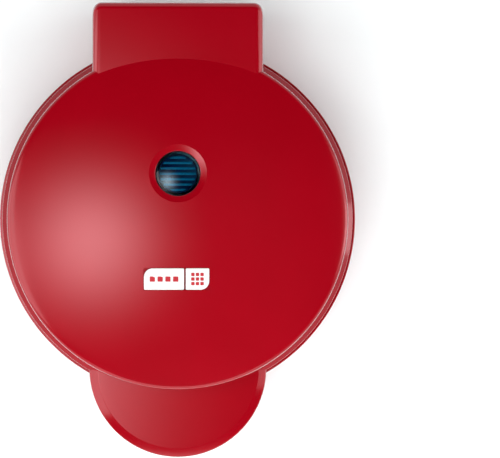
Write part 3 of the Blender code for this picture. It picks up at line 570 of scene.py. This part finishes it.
def sweep_outline(offset):
    """Space that the lid's rear end passes through: a trough, then a deck that stops the lid."""
    radius = TROUGH + offset
    start = 180 + math.degrees(math.asin((GAP + offset) / radius))
    trough = arc((0, 0), radius, start, 360 - OPEN_ANGLE, 32)
    turn, reach = math.radians(OPEN_ANGLE), 30
    deck = (trough[-1][0] + reach * math.sin(turn), trough[-1][1] + reach * math.cos(turn))
    return [(deck[0], 5), (trough[0][0], 5)] + trough + [deck]


def make_ear(side):
    """An ear with a round head on the hinge axis and a stem on the front side, clear of the lid."""
    radius, stem_rear, foot = 12.0, -3.6, -20.0
    end = math.degrees(math.asin(stem_rear / radius)) - 90
    outline = arc((0, 0), radius, 180, end, 32) + [(stem_rear, foot), (-radius, foot)]
    return side_prism("ear", outline, *sorted((side * EAR_INNER, side * EAR_OUTER)), mark=6)


def base_hollows():
    wide = HOUSING_HALF + 5
    inner = [(95.5, 3), (95.5, 7.3), (84, 7.3), (84, FLOOR_TOP), (101.9, FLOOR_TOP), (105.9, 16),
             (107.3, 24), (107.9, 36), (107.9, 42.4), (112.8, 42.4), (112.8, 47)]
    under_tab = crescent(TAB_RADIUS - WALL, FLANGE)
    body = turned("tub_hollow", inner, mark=4)
    rear_outline = housing_outline(WALL)
    rear = prism("rear_hollow", [(rear_outline, 3), (rear_outline, BASE_TOP - WALL)], mark=4)
    for hollow in (body, rear):
        machine(hollow, ("-", side_prism("trough_wall", sweep_outline(WALL), -wide, wide, mark=4)))
    yield side_prism("trough", sweep_outline(0), -wide, wide, mark=5)
    yield body
    yield rear
    yield prism("tab_hollow", [(under_tab, TAB_BOTTOM - 1), (under_tab, TAB_TOP - WALL)], mark=4)


# %% Machine the base
gland = middle("cord_gland")
ear_bores = [turned("ear_bore", [(4.5, end), (4.5, end + 11.3)], HINGE, "X", 32, 5)
             for end in (-51.8, 40.5)]
cord_hole = turned("cord_hole", [(6.9, REAR_Y - 5), (6.9, REAR_Y + 2)], (gland.x, 0, gland.z), "Y", 48, 5)
base = machine(make_tub(), ("+", make_base_housing()), ("+", make_tab()),
               *[("-", hollow) for hollow in base_hollows()],
               *[("+", make_ear(side)) for side in (-1, 1)],
               *[("-", bore) for bore in ear_bores], ("-", cord_hole))
fit(base, "base", "casing", red_gloss, "base_shell")

# %% [markdown]
# ## Trim rings
# A ring round each plate hides the gap to the casing. It is turned from one section, bored for its four
# screws, and the base's ring gives way to the hinge trough. Base and lid share the section, mirrored at
# the parting plane, so the lid's heights are only a change of sign.

# %% Liners
def level(side, depth):
    """Height of a plane at a depth from the parting plane; side is 1 in the lid and -1 in the base."""
    return PARTING + side * depth


def screw_centres(stem, count):
    """Centres of a row of numbered screws, from their CAD nodes."""
    return [middle(f"{stem}_{number}") for number in range(1, count + 1)]


def make_liner(name, side, radius, screws):
    inner, lip, face, back, flange_back = 101.8, 98.0, 1.1, 3.6, 3.8
    corners = [(lip, 6.3, 0), (102.9, 6.3, 0), (102.9, back, 0), (radius, back, 0), (radius, face, 0.5),
               (inner, face, 0.6), (inner, flange_back, 0), (lip, flange_back, 0)]
    section = [(r, level(side, depth)) for r, depth in rounded(corners, 4, closed=True)]
    ring = turned(name, section, steps=192, ring=True)
    cuts = []
    for screw in screws:
        bore = [(2.9, level(side, 0)), (2.9, level(side, back - 1)), (1.8, level(side, back - 1)),
                (1.8, level(side, back + 1))]
        cuts.append(("-", turned("liner_bore", bore, (screw.x, screw.y, 0), steps=32, mark=1)))
    if side < 0:
        cuts.append(("-", side_prism("liner_trough", sweep_outline(WALL + GAP), -60, 60, mark=2)))
    return machine(ring, *cuts)


for body, side, radius in (("base", -1, 112.5), ("lid", 1, 110.5)):
    centres = screw_centres(f"{body}_liner_screw", 4)
    ring = make_liner(f"{body}_trim_ring", side, radius, centres)
    fit(ring, body, "trim_ring", red_ring, f"{body}_liner")

# %% [markdown]
# ## Repeats with Geometry Nodes
# Studs, screws, feet and ribs are repeats: one small shape at many places. Geometry Nodes make them from
# a handful of points. Each tree below has named inputs for its sizes, and ends by making its instances
# real and giving them their material. A modifier keeps its inputs under the socket's identifier, so the
# helper looks that up by name. The result is then baked into a plain mesh for each body.

# %% Node tree helpers
def node_tree(name, sizes, extra=()):
    """A new tree with Geometry in and out, a number input for each size, and any extra sockets."""
    tree = bpy.data.node_groups.new(name, "GeometryNodeTree")
    tree.interface.new_socket("Geometry", in_out="INPUT", socket_type="NodeSocketGeometry")
    for size in sizes:
        tree.interface.new_socket(size, in_out="INPUT", socket_type="NodeSocketFloat")
    for label, kind in extra:
        tree.interface.new_socket(label, in_out="INPUT", socket_type=kind)
    tree.interface.new_socket("Geometry", in_out="OUTPUT", socket_type="NodeSocketGeometry")
    return tree, tree.nodes.new("NodeGroupInput"), tree.nodes.new("NodeGroupOutput")


def add_node(tree, kind, values=(), **settings):
    """Add a node, set its properties, and fill or link its inputs, given as (name, value) pairs."""
    node = tree.nodes.new(kind)
    for key, value in settings.items():
        setattr(node, key, value)
    for name, value in values:
        if isinstance(value, bpy.types.NodeSocket):
            tree.links.new(value, node.inputs[name])
        else:
            node.inputs[name].default_value = value
    return node


def close_tree(tree, output, instances, material):
    """End a tree in Realize Instances and Set Material."""
    real = add_node(tree, "GeometryNodeRealizeInstances", [("Geometry", instances)])
    painted = add_node(tree, "GeometryNodeSetMaterial",
                       [("Geometry", real.outputs[0]), ("Material", material)])
    tree.links.new(painted.outputs[0], output.inputs[0])


def grow(name, points, tree, **values):
    """Run a tree on a mesh of loose points and bake the result; values are the tree's named inputs."""
    mesh = bpy.data.meshes.new(name)
    mesh.from_pydata([tuple(point) for point in points], [], [])
    item = add_object(name, mesh)
    change = item.modifiers.new(name, "NODES")
    change.node_group = tree
    for socket in tree.interface.items_tree:
        key = socket.name.replace(" ", "_").lower()
        if socket.in_out == "INPUT" and key in values:
            change[socket.identifier] = values[key]
    return bake(item)


# %% [markdown]
# ## Baking plates
# Each plate is a cast disc with a heart-shaped pan and rows of tapered square studs that press the
# pockets into the waffle. The heart is drawn from circles and tangent lines, so it can be offset evenly
# for the wall, the draft and the line that trims the studs. The studs are cones with four sides, set on a
# grid of points by nodes, then trimmed to the heart, softened by a bevel and joined to the pan's floor.

# %% Heart outline
def heart(inset):
    """Heart with two round lobes, a rounded cleft at the rear and a rounded tip in front."""
    half_width, length, cleft_depth, cleft_radius, tip_radius = 90, 159, 17, 8, 14
    linear = 2 * cleft_depth
    constant = linear * (half_width + cleft_radius) - cleft_depth ** 2
    lobe_x = (-linear + math.sqrt(linear ** 2 + 4 * constant)) / 2
    lobe = half_width - lobe_x
    span = length - lobe - tip_radius
    rest = span + tip_radius - lobe
    lobe_y = (rest ** 2 - lobe_x ** 2) / (2 * rest)
    cleft_y = lobe_y + math.sqrt((lobe + cleft_radius) ** 2 - lobe_x ** 2)
    lean = math.atan2(span, lobe_x) - math.acos((tip_radius - lobe) / math.hypot(span, lobe_x))
    tangent = math.degrees(lean)
    cleft_angle = math.degrees(math.atan2(cleft_y - lobe_y, -lobe_x))
    half = arc((0, lobe_y - span), tip_radius - inset, -90, tangent, 12)
    half += arc((lobe_x, lobe_y), lobe - inset, tangent, cleft_angle, 48)
    half += arc((0, cleft_y), cleft_radius + inset, cleft_angle - 180, -90, 8)[1:]
    mirrored = [(-x, y) for x, y in reversed(half[1:-1])]
    return [(x, BODY_Y + y) for x, y in half + mirrored]


def inside(point, outline):
    """Even-odd test of a point against an outline."""
    crossings = 0
    for (x1, y1), (x2, y2) in zip(outline, outline[1:] + outline[:1]):
        if (y1 > point[1]) != (y2 > point[1]):
            crossings += point[0] < x1 + (point[1] - y1) * (x2 - x1) / (y2 - y1)
    return crossings % 2 == 1


# %% Stud tree
CAVITY_FLOOR, STUD_TIP, STUD_PITCH, STUD_MARGIN = 10.5, 2.5, 20.0, 6.0
PLATE_RADIUS, PLATE_FACE, FLANGE_BACK, DRAFT = 101.5, 0.5, 3.5, 1.2


def stud_tree():
    """Square tapered studs that stand on the input points."""
    tree, source, output = node_tree("studs", ("Base width", "Tip width", "Height"))
    radii = [add_node(tree, "ShaderNodeMath", [(0, source.outputs[name]), (1, math.sqrt(2))],
                      operation="DIVIDE")
             for name in ("Base width", "Tip width")]
    cone = add_node(tree, "GeometryNodeMeshCone", [("Vertices", 4), ("Radius Bottom", radii[0].outputs[0]),
                                                   ("Radius Top", radii[1].outputs[0]),
                                                   ("Depth", source.outputs["Height"])])
    studs = add_node(tree, "GeometryNodeInstanceOnPoints",
                     [("Points", source.outputs["Geometry"]), ("Instance", cone.outputs["Mesh"]),
                      ("Rotation", (0, 0, math.radians(45)))])
    close_tree(tree, output, studs.outputs[0], nonstick)
    return tree


def make_studs():
    limit = heart(STUD_MARGIN)
    places = []
    for column in range(-5, 6):
        for row in range(-5, 6):
            x, y = column * STUD_PITCH, BODY_Y + (row + 0.5) * STUD_PITCH
            if inside((x, y), limit):
                places.append((x, y, level(-1, CAVITY_FLOOR + 1)))
    studs = grow("studs", places, stud_tree(), base_width=13.0, tip_width=10.5,
                 height=CAVITY_FLOOR + 1 - STUD_TIP)
    studs.data.polygons.foreach_set("material_index", [0] * len(studs.data.polygons))
    machine(studs, ("x", prism("stud_limit", [(limit, level(-1, 20)), (limit, PARTING)])))
    edges = studs.modifiers.new("soft edges", "BEVEL")
    edges.width, edges.segments, edges.angle_limit = 0.7, 3, math.radians(50)
    print("studs on each plate:", len(places))
    return bake(studs)


# %% Plates
def make_plate(name, screws):
    back, face, inside = level(-1, FLANGE_BACK), level(-1, PLATE_FACE), PLATE_RADIUS - 3
    rim = [(inside, back, 0), (PLATE_RADIUS, back, 0.4), (PLATE_RADIUS, face, 0.8), (inside, face, 0)]
    plate = turned(name, rounded(rim), steps=192)
    tub_back = level(-1, CAVITY_FLOOR + WALL)
    tub = prism("tub", [(heart(DRAFT - WALL), tub_back), (heart(-WALL), level(-1, 2))], 1)
    soft, floor = 1.0, 1.6
    layers = []
    for step in range(6):
        turn = math.radians(18 * step)
        inset = DRAFT - 0.1 + floor * (1 - math.sin(turn))
        layers.append((heart(inset), level(-1, CAVITY_FLOOR - floor * (1 - math.cos(turn)))))
    for step in range(6):
        turn = math.radians(18 * step)
        layers.append((heart(soft * (math.cos(turn) - 1)),
                       level(-1, PLATE_FACE + soft * (1 - math.sin(turn)))))
    layers.append((heart(-soft - 0.2), PARTING + 1))
    cavity = prism("cavity", layers, 2)
    boss = [(4.5, level(-1, 24.9)), (4.5, level(-1, 2.5))]
    bosses = [("+", turned("boss", boss, (screw.x, screw.y, 0), steps=32, mark=3)) for screw in screws]
    return machine(plate, ("+", tub), *bosses, ("-", cavity), ("+", make_studs()))


def mirrored(item, name):
    """A copy of a finished base piece, mirrored at the parting plane for the lid."""
    mesh = item.data.copy()
    mesh.transform(Matrix.Translation((0, 0, 2 * PARTING)) @ Matrix.Diagonal((1, 1, -1, 1)))
    mesh.flip_normals()
    return add_object(name, mesh)


lower = make_plate("lower_baking_plate", screw_centres("lower_plate_screw", 3))
upper = mirrored(lower, "upper_baking_plate")
fit(lower, "base", "nonstick", nonstick, "lower_plate")
fit(upper, "lid", "nonstick", nonstick, "upper_plate")

# %% [markdown]
# ## Screws
# The trim rings and the bottom cover are held by pan-head screws with a cross recess. One tree makes a
# screw from its sizes and sets it on every point, turned to face up or down. The CAD gives the places.

# %% Screw tree
def screw_tree():
    """Cross-head screws on the input points. The seat of the head is at the point."""
    tree, source, output = node_tree(
        "screws", ("Head radius", "Head height", "Shank radius", "Shank length", "Recess", "Turn"))
    size = source.outputs

    def lifted(mesh, height):
        offset = add_node(tree, "ShaderNodeCombineXYZ", [("Z", height)])
        return add_node(tree, "GeometryNodeTransform",
                        [("Geometry", mesh), ("Translation", offset.outputs[0])]).outputs[0]

    def product(value, factor):
        return add_node(tree, "ShaderNodeMath", [(0, value), (1, factor)], operation="MULTIPLY").outputs[0]

    head = add_node(tree, "GeometryNodeMeshCone",
                    [("Vertices", 24), ("Radius Bottom", size["Head radius"]),
                     ("Radius Top", product(size["Head radius"], 0.72)), ("Depth", size["Head height"])])
    shank = add_node(tree, "GeometryNodeMeshCylinder",
                     [("Vertices", 16), ("Radius", size["Shank radius"]), ("Depth", size["Shank length"])])
    lowered = lifted(shank.outputs["Mesh"], product(size["Shank length"], -0.49))
    blank_screw = add_node(tree, "GeometryNodeMeshBoolean", [], operation="UNION", solver="EXACT")
    tree.links.new(head.outputs["Mesh"], blank_screw.inputs["Mesh 2"])
    tree.links.new(lowered, blank_screw.inputs["Mesh 2"])
    cut = blank_screw.outputs["Mesh"]
    for first in (0, 1):
        arms = [product(size["Recess"], factor) for factor in ((1.0, 0.26) if first else (0.26, 1.0))]
        extent = add_node(tree, "ShaderNodeCombineXYZ", [("X", arms[0]), ("Y", arms[1]),
                                                         ("Z", size["Head height"])])
        arm = add_node(tree, "GeometryNodeMeshCube", [("Size", extent.outputs[0])])
        raised = lifted(arm.outputs["Mesh"], product(size["Head height"], 0.85))
        recess = add_node(tree, "GeometryNodeMeshBoolean", [("Mesh 1", cut), ("Mesh 2", raised)],
                          operation="DIFFERENCE", solver="EXACT")
        cut = recess.outputs["Mesh"]
    flip = add_node(tree, "ShaderNodeCombineXYZ", [("X", size["Turn"])])
    screws = add_node(tree, "GeometryNodeInstanceOnPoints",
                      [("Points", size["Geometry"]), ("Instance", cut), ("Rotation", flip.outputs[0])])
    close_tree(tree, output, screws.outputs[0], screw_steel)
    return tree


SCREWS = screw_tree()


def fit_screws(name, stem, seat, turn, body):
    """Replace a row of four CAD screws; seat is the height their heads bear on."""
    points = [(screw.x, screw.y, seat) for screw in screw_centres(stem, 4)]
    row = grow(name, points, SCREWS, head_radius=2.6, head_height=1.2, shank_radius=1.5, shank_length=9.0,
               recess=3.2, turn=turn)
    fit(row, body, "screw_steel", screw_steel, *[f"{stem}_{number}" for number in range(1, 5)])


fit_screws("base_ring_screws", "base_liner_screw", level(-1, 2.3), 0.0, "base")
fit_screws("lid_ring_screws", "lid_liner_screw", level(1, 2.3), math.pi, "lid")
fit_screws("cover_screws", "cover_screw", BASE_BOTTOM + 0.2, math.pi, "base")

# %% [markdown]
# ## Underside
# A black cover closes the base, and four rubber feet carry it. The cover has a ring of short vent slots:
# a small slot shape is set on points round a circle by a tree that takes any template object.

# %% Template tree, cover and feet
def template_tree(material, outward):
    """Copies of a template object on the input points; outward turns them away from the body's axis."""
    tree, source, output = node_tree("copies", (), [("Template", "NodeSocketObject")])
    shape = add_node(tree, "GeometryNodeObjectInfo", [("Object", source.outputs["Template"])])
    copies = add_node(tree, "GeometryNodeInstanceOnPoints",
                      [("Points", source.outputs["Geometry"]), ("Instance", shape.outputs["Geometry"])])
    if outward:
        place = add_node(tree, "GeometryNodeInputPosition")
        reach = add_node(tree, "ShaderNodeVectorMath", [(0, place.outputs[0]), (1, (0, BODY_Y, 0))],
                         operation="SUBTRACT")
        flat = add_node(tree, "ShaderNodeVectorMath", [(0, reach.outputs[0]), (1, (1, 1, 0))],
                        operation="MULTIPLY")
        turn = add_node(tree, "FunctionNodeAlignRotationToVector", [("Vector", flat.outputs[0])], axis="X")
        tree.links.new(turn.outputs[0], copies.inputs["Rotation"])
    close_tree(tree, output, copies.outputs[0], material)
    return tree


def grow_copies(name, template, points, material, outward=True):
    copies = grow(name, points, template_tree(material, outward), template=template)
    bpy.data.objects.remove(template)
    return copies


def on_circle(radius, angles, height):
    return [(radius * math.cos(angle), BODY_Y + radius * math.sin(angle), height) for angle in angles]


foot_corners = [(0, 0.9, 0), (3.4, 0.9, 0), (4.2, 0, 0.5), (9, 0, 0.8), (9, 4.2, 0.3), (0, 4.2, 0)]
foot = turned("foot", rounded(foot_corners), (0, 0, 0), steps=48)
corner_angles = [math.radians(45 + 90 * step) for step in range(4)]
feet = grow_copies("feet", foot, on_circle(78, corner_angles, 0), rubber)
fit(feet, "base", "rubber", rubber, "foot_1", "foot_2", "foot_3", "foot_4")

COVER_BOTTOM, COVER_TOP = 4.5, 7.0
cover_profile = rounded([(40, COVER_BOTTOM + 0.5, 0), (61, COVER_BOTTOM + 0.5, 0), (61.6, COVER_BOTTOM, 0.2),
                         (95.2, COVER_BOTTOM, 0.4), (95.2, COVER_TOP, 0), (40, COVER_TOP, 0)], 3)
cover = turned("underside_cover", cover_profile, steps=160)
tongue_outline = housing_outline(WALL + GAP)
tongue = prism("tongue", [(tongue_outline, COVER_BOTTOM + 0.02), (tongue_outline, COVER_TOP - 0.02)], 1)
vent = rounded([(-6, -1.1, 1.0), (6, -1.1, 1.0), (6, 1.1, 1.0), (-6, 1.1, 1.0)], 5, closed=True)
vent_angles = [math.radians(15 * step) for step in range(24)]
slots = grow_copies("slots", prism("slot", [(vent, -2), (vent, 1.3)]),
                    on_circle(50, vent_angles, COVER_BOTTOM), black_plastic)
slots.data.polygons.foreach_set("material_index", [0] * len(slots.data.polygons))
bore = [(3.4, 3), (3.4, 4.6), (1.9, 4.6), (1.9, 8)]
holes = [("-", turned("cover_hole", bore, (screw.x, screw.y, 0), steps=32, mark=2))
         for screw in screw_centres("cover_screw", 4)]
machine(cover, ("+", tongue), ("-", slots), *holes)
fit(cover, "base", "black_plastic", black_plastic, "bottom_cover")

# %% Cord gland
def make_gland():
    """A flexible rubber gland with soft ridges round its mouth; the cord itself is not part of the model."""
    bore, body = 3.6, 6.6
    front, back, wall = REAR_Y - GAP, REAR_Y - 5.5, REAR_Y - WALL - GAP
    corners = [(bore, back, 0.3), (8.4, back, 0.5), (8.4, wall, 0.3), (body, wall, 0), (body, front, 0.5),
               (5.6, front, 0.2), (5.2, front - 0.7, 0.2), (4.8, front, 0.2), (bore, front, 0.3)]
    profile = rounded(corners, 4, closed=True)
    return turned("cord_grommet", profile, (gland.x, 0, gland.z), "Y", 64, ring=True)


fit(make_gland(), "base", "rubber", rubber, "cord_gland")

# %% [markdown]
# ## Indicator light
# A clear blue dome covers a dark ribbed reflector. Light bends through the dome and catches the ribs, so
# both are real shapes: the dome is a thin shell with a glass-like material, and the ribs are rods laid
# across the reflector by nodes, each cut to the chord of the circle. The rods are coloured a lighter cyan
# than the navy reflector, which is a painted highlight along the rib crests.

# %% Lens materials
LENS_TINT = (0.3, 0.76, 0.97)
lens_clear = finish("lens_clear", LENS_TINT, LENS_TINT, 4, (0.02, 0.04), 1.2, 0.0005,
                    Transmission_Weight=1.0, IOR=1.49)
lens_navy = finish("lens_navy", (0.002, 0.012, 0.05), (0.004, 0.02, 0.075), 5, (0.15, 0.25), 0.6, 0.002)
# The rib rods' lighter cyan is a painted highlight along the rib crests, not their own colour.
lens_rib = finish("lens_rib", (0.02, 0.3, 0.4), (0.04, 0.4, 0.5), 2, (0.2, 0.3), 0.5, 0.002)
LENS_RADIUS = 13.55
RIB_LEVEL, RIB_PITCH = -4.3, 3.4            # below the crown, and from rib to rib


# %% Dome, reflector and ribs
def make_lens_dome():
    """The dome's shell, from its flange under the collar to its crown just under the opening's rim."""
    top, edge, skin = -0.15, -2.4, 1.0
    ball = (LENS_RADIUS ** 2 + (top - edge) ** 2) / (2 * (top - edge))
    reach = math.degrees(math.asin(LENS_RADIUS / ball))
    outer = arc((0, top - ball), ball, 90 - reach, 90, 16)
    inner = arc((0, top - ball), ball - skin, 90, 90 - reach + 2, 16)
    outer[-1], inner[0] = (0, top), (0, top - skin)
    wall = inner[-1][0]
    profile = [(wall, -7.9), (17.55, -7.9), (17.55, -6.9), (LENS_RADIUS, -6.9)] + outer
    return turned("lens_dome", profile + inner, (0, 0, 0), steps=96, ring=True)


def make_reflector():
    corners = [(12.2, -7.6, 0), (12.2, -3.4, 0.3), (11.2, -3.4, 0.3), (11.2, RIB_LEVEL, 0.2),
               (0, RIB_LEVEL, 0)]
    return turned("lens_reflector", rounded(corners, 3), (0, 0, 0), steps=96)


def rib_tree():
    """Rods along X on the input points, each as long as the circle's chord at its Y."""
    tree, source, output = node_tree("lens ribs", ("Rib radius", "Circle radius"))
    place = add_node(tree, "GeometryNodeInputPosition")
    split = add_node(tree, "ShaderNodeSeparateXYZ", [(0, place.outputs[0])])

    def math_node(operation, first, second):
        return add_node(tree, "ShaderNodeMath", [(0, first), (1, second)], operation=operation).outputs[0]

    squares = [math_node("POWER", value, 2.0)
               for value in (source.outputs["Circle radius"], split.outputs["Y"])]
    chord = math_node("MULTIPLY", math_node("POWER", math_node("SUBTRACT", *squares), 0.5), 2.0)
    stretch = add_node(tree, "ShaderNodeCombineXYZ", [("X", 1.0), ("Y", 1.0), ("Z", chord)])
    rod = add_node(tree, "GeometryNodeMeshCylinder",
                   [("Vertices", 16), ("Radius", source.outputs["Rib radius"]), ("Depth", 1.0)])
    rods = add_node(tree, "GeometryNodeInstanceOnPoints",
                    [("Points", source.outputs["Geometry"]), ("Instance", rod.outputs["Mesh"]),
                     ("Rotation", (0, math.pi / 2, 0)), ("Scale", stretch.outputs[0])])
    # The rods take the lighter cyan finish, which is a painted highlight on the rib crests.
    close_tree(tree, output, rods.outputs[0], lens_rib)
    return tree


rib_points = [(0, RIB_PITCH * step, RIB_LEVEL) for step in range(-3, 4)]
ribs = grow("lens_ribs", rib_points, rib_tree(), rib_radius=0.75, circle_radius=11.3)
for piece, material, nodes in ((make_lens_dome(), lens_clear, ("light_lens",)),
                               (make_reflector(), lens_navy, ()), (ribs, lens_rib, ())):
    fit(lay_on_crown(piece, LIGHT_Y), "lid", "lens", material, *nodes)

# %% [markdown]
# ## Badge
# Two thin white pieces sit in a pocket of the crown and follow its curve. Each is lofted across a row of
# sections, so that it bends with the dome. The real one carries a name; here it carries a plain pattern
# of small squares, like a waffle's pockets, set out by the template tree.

# %% Badge pieces
def badge_piece(name, span, rounded_side):
    """rounded_side -1 rounds the left rear corner and 1 the right front one."""
    left, right = span
    large, small, soft, bottom, steps = 5.5, 0.6, 0.25, -0.55, 40
    left_rear, right_front = (large, small) if rounded_side < 0 else (small, large)

    def draw_in(x, left_radius, right_radius):
        """How far an edge draws in at x, towards the round corners at its two ends."""
        depths = []
        for radius, distance in ((left_radius, x - left), (right_radius, right - x)):
            over = max(0.0, radius - distance)
            depths.append(radius - math.sqrt(max(0.0, radius ** 2 - over ** 2)))
        return max(depths)

    stations = [left + (right - left) * (1 - math.cos(math.pi * step / steps)) / 2
                for step in range(steps + 1)]
    stations[1], stations[-2] = left + soft, right - soft
    loops = []
    for index, x in enumerate(stations):
        front = draw_in(x, small, right_front) - BADGE_HALF
        rear = BADGE_HALF - draw_in(x, left_rear, small)
        top = BADGE_RISE - (soft if index in (0, steps) else 0)
        section = [(front, bottom), (front, top - soft), (front + soft, top), (rear - soft, top),
                   (rear, top - soft), (rear, bottom)]
        loops.append([(x, BADGE_Y + y, crown_height(x, BADGE_Y + y) + rise) for y, rise in section])
    return solid(name, loops)


def pocket_marks():
    """Four squares in a row on the panel, and three rows of three on the tile."""
    for size, pitch, columns, rows, centre in ((3.3, 4.9, 4, 1, -8.75), (2.1, 2.9, 3, 3, 12.3)):
        half = size / 2
        shape = rounded([(-half, -half, 0.4), (half, -half, 0.4), (half, half, 0.4), (-half, half, 0.4)],
                        3, closed=True)
        points = []
        for column in range(columns):
            for row in range(rows):
                x = centre + pitch * (column - (columns - 1) / 2)
                y = BADGE_Y + pitch * (row - (rows - 1) / 2)
                points.append((x, y, crown_height(x, y) + BADGE_RISE))
        template = prism("mark", [(shape, -0.2), (shape, 0.1)])
        yield grow_copies("marks", template, points, red_mark, outward=False)


red_mark = finish("red_mark", (0.42, 0.003, 0.012), (0.46, 0.004, 0.015), 3, (0.3, 0.4), 0.5, 0.002)
fit(badge_piece("badge_left", PANEL, -1), "lid", "badge_white", badge_white, "badge_panel")
fit(badge_piece("badge_right", TILE, 1), "lid", "badge_white", badge_white, "badge_tile")
for name, marks in zip(("badge_row", "badge_grid"), pocket_marks()):
    marks.name = name
    fit(marks, "lid", "casing", red_mark)

# %% [markdown]
# ## Parts behind the plates
# Heaters, clamps, pans, wires and hinge hardware are right as CAD solids, so they stay. Each only gets
# the finish of its slot in the record, put in its material slots; its mesh is not touched.

# %% Finishes for the CAD nodes that stay
lamp_glass = finish("lamp_glass", (0.9, 0.62, 0.4), (0.95, 0.7, 0.5), 2, (0.05, 0.1), 0.6, 0.001,
                    Transmission_Weight=0.6)
SLOT_FINISH = {"black_plastic": black_plastic, "heater_steel": heater_steel, "screw_steel": screw_steel,
               "sheet_steel": sheet_steel, "insulator": insulator, "lamp_glass": lamp_glass,
               "casing": red_gloss, "trim_ring": red_ring, "rubber": rubber, "nonstick": nonstick,
               "lens": lens_clear, "badge_white": badge_white}
kept = []
for part in frame["record"]["subparts"]:
    node = frame["nodes"][part["node"]]
    node.data.materials.clear()
    node.data.materials.append(SLOT_FINISH[part["material_slot"]])
    if not node.hide_render:
        kept.append(part["node"])
print("CAD nodes that stay:", len(kept))

# %% [markdown]
# ## Studio
# Gloss plastic shows its lights, so their places matter more than their strength. The dome mirrors what
# stands within thirty degrees of the zenith: one soft glow on the left, and darkness elsewhere. The keys
# stand lower and catch the ledge and the edges. Two fills raise the red without showing in the gloss.

# %% Lights
def softbox(name, direction, distance, size, power, fade=None, mirrored=True):
    """An area light that looks at the body.

    With fade, its brightness falls off as a bell curve. One that isn't mirrored doesn't show in gloss.
    """
    data = bpy.data.lights.new(name, "AREA")
    data.shape = "RECTANGLE"
    data.size, data.size_y = size
    data.energy = power
    if fade:
        data.use_nodes = True
        tree = data.node_tree
        place = tree.nodes.new("ShaderNodeNewGeometry")
        centred = add_node(tree, "ShaderNodeVectorMath",
                           [(0, place.outputs["Parametric"]), (1, (2, 2, 0)), (2, (-1, -1, 0))],
                           operation="MULTIPLY_ADD")
        square = add_node(tree, "ShaderNodeVectorMath",
                          [(0, centred.outputs[0]), (1, centred.outputs[0])], operation="DOT_PRODUCT")
        scaled = add_node(tree, "ShaderNodeMath", [(0, square.outputs["Value"]), (1, -fade)],
                          operation="MULTIPLY")
        glow = add_node(tree, "ShaderNodeMath", [(0, math.e), (1, scaled.outputs[0])], operation="POWER")
        tree.links.new(glow.outputs[0], tree.nodes["Emission"].inputs["Strength"])
    item = bpy.data.objects.new(name, data)
    bpy.context.scene.collection.objects.link(item)
    tilt_x, tilt_y = (math.radians(angle) for angle in direction)
    out = Vector((math.tan(tilt_x), math.tan(tilt_y), 1)).normalized()
    aim = Vector((0, BODY_Y * MM, 0.09))
    item.location = aim + out * distance
    item.rotation_mode = "QUATERNION"
    item.rotation_quaternion = out.to_track_quat("Z", "Y")
    item.visible_glossy = item.visible_transmission = mirrored


def add_floor():
    mesh = bpy.data.meshes.new("floor")
    reach = 6.0
    corners = [(-reach, -reach, 0), (reach, -reach, 0), (reach, reach, 0), (-reach, reach, 0)]
    mesh.from_pydata(corners, [], [(0, 1, 2, 3)])
    floor = add_object("floor", mesh)
    mesh.materials.append(finish("floor", (0.9, 0.94, 0.94), (0.92, 0.96, 0.96), 60, (0.6, 0.7), 2, 0.01))


def add_surroundings():
    """A pale room: bright at the horizon and dark overhead, where the dome would mirror it."""
    world = bpy.data.worlds.new("studio")
    bpy.context.scene.world = world
    world.use_nodes = True
    tree = world.node_tree
    back = tree.nodes["Background"]
    place = tree.nodes.new("ShaderNodeTexCoord")
    split = tree.nodes.new("ShaderNodeSeparateXYZ")
    tree.links.new(place.outputs["Generated"], split.inputs["Vector"])
    height = tree.nodes.new("ShaderNodeMapRange")
    height.interpolation_type = "SMOOTHSTEP"
    height.inputs["From Min"].default_value = 0.35
    height.inputs["From Max"].default_value = 0.8
    height.inputs["To Min"].default_value = 0.6
    height.inputs["To Max"].default_value = 0.004
    tree.links.new(split.outputs["Z"], height.inputs["Value"])
    tree.links.new(height.outputs["Result"], back.inputs["Strength"])
    back.inputs["Color"].default_value = (0.95, 0.97, 1.0, 1)


add_floor()
add_surroundings()
bpy.context.scene.view_settings.view_transform = "Standard"
softbox("left_glow", (-19, -5), 1.2, (1.1, 1.1), 17.5, fade=4.5)
softbox("left_key", (-58, -15), 1.8, (1.3, 1.7), 16)
softbox("right_key", (62, 5), 1.8, (1.1, 1.7), 8)
softbox("front_key", (0, -60), 1.8, (1.9, 1.1), 8)
softbox("rear_key", (0, 62), 1.8, (1.9, 1.0), 1.5)
softbox("right_strip", (80, -18), 1.7, (0.5, 2.2), 8)
softbox("top_fill", (4, -14), 1.7, (1.6, 1.6), 17, mirrored=False)
softbox("front_fill", (0, -56), 0.55, (0.4, 0.3), 1.2, mirrored=False)
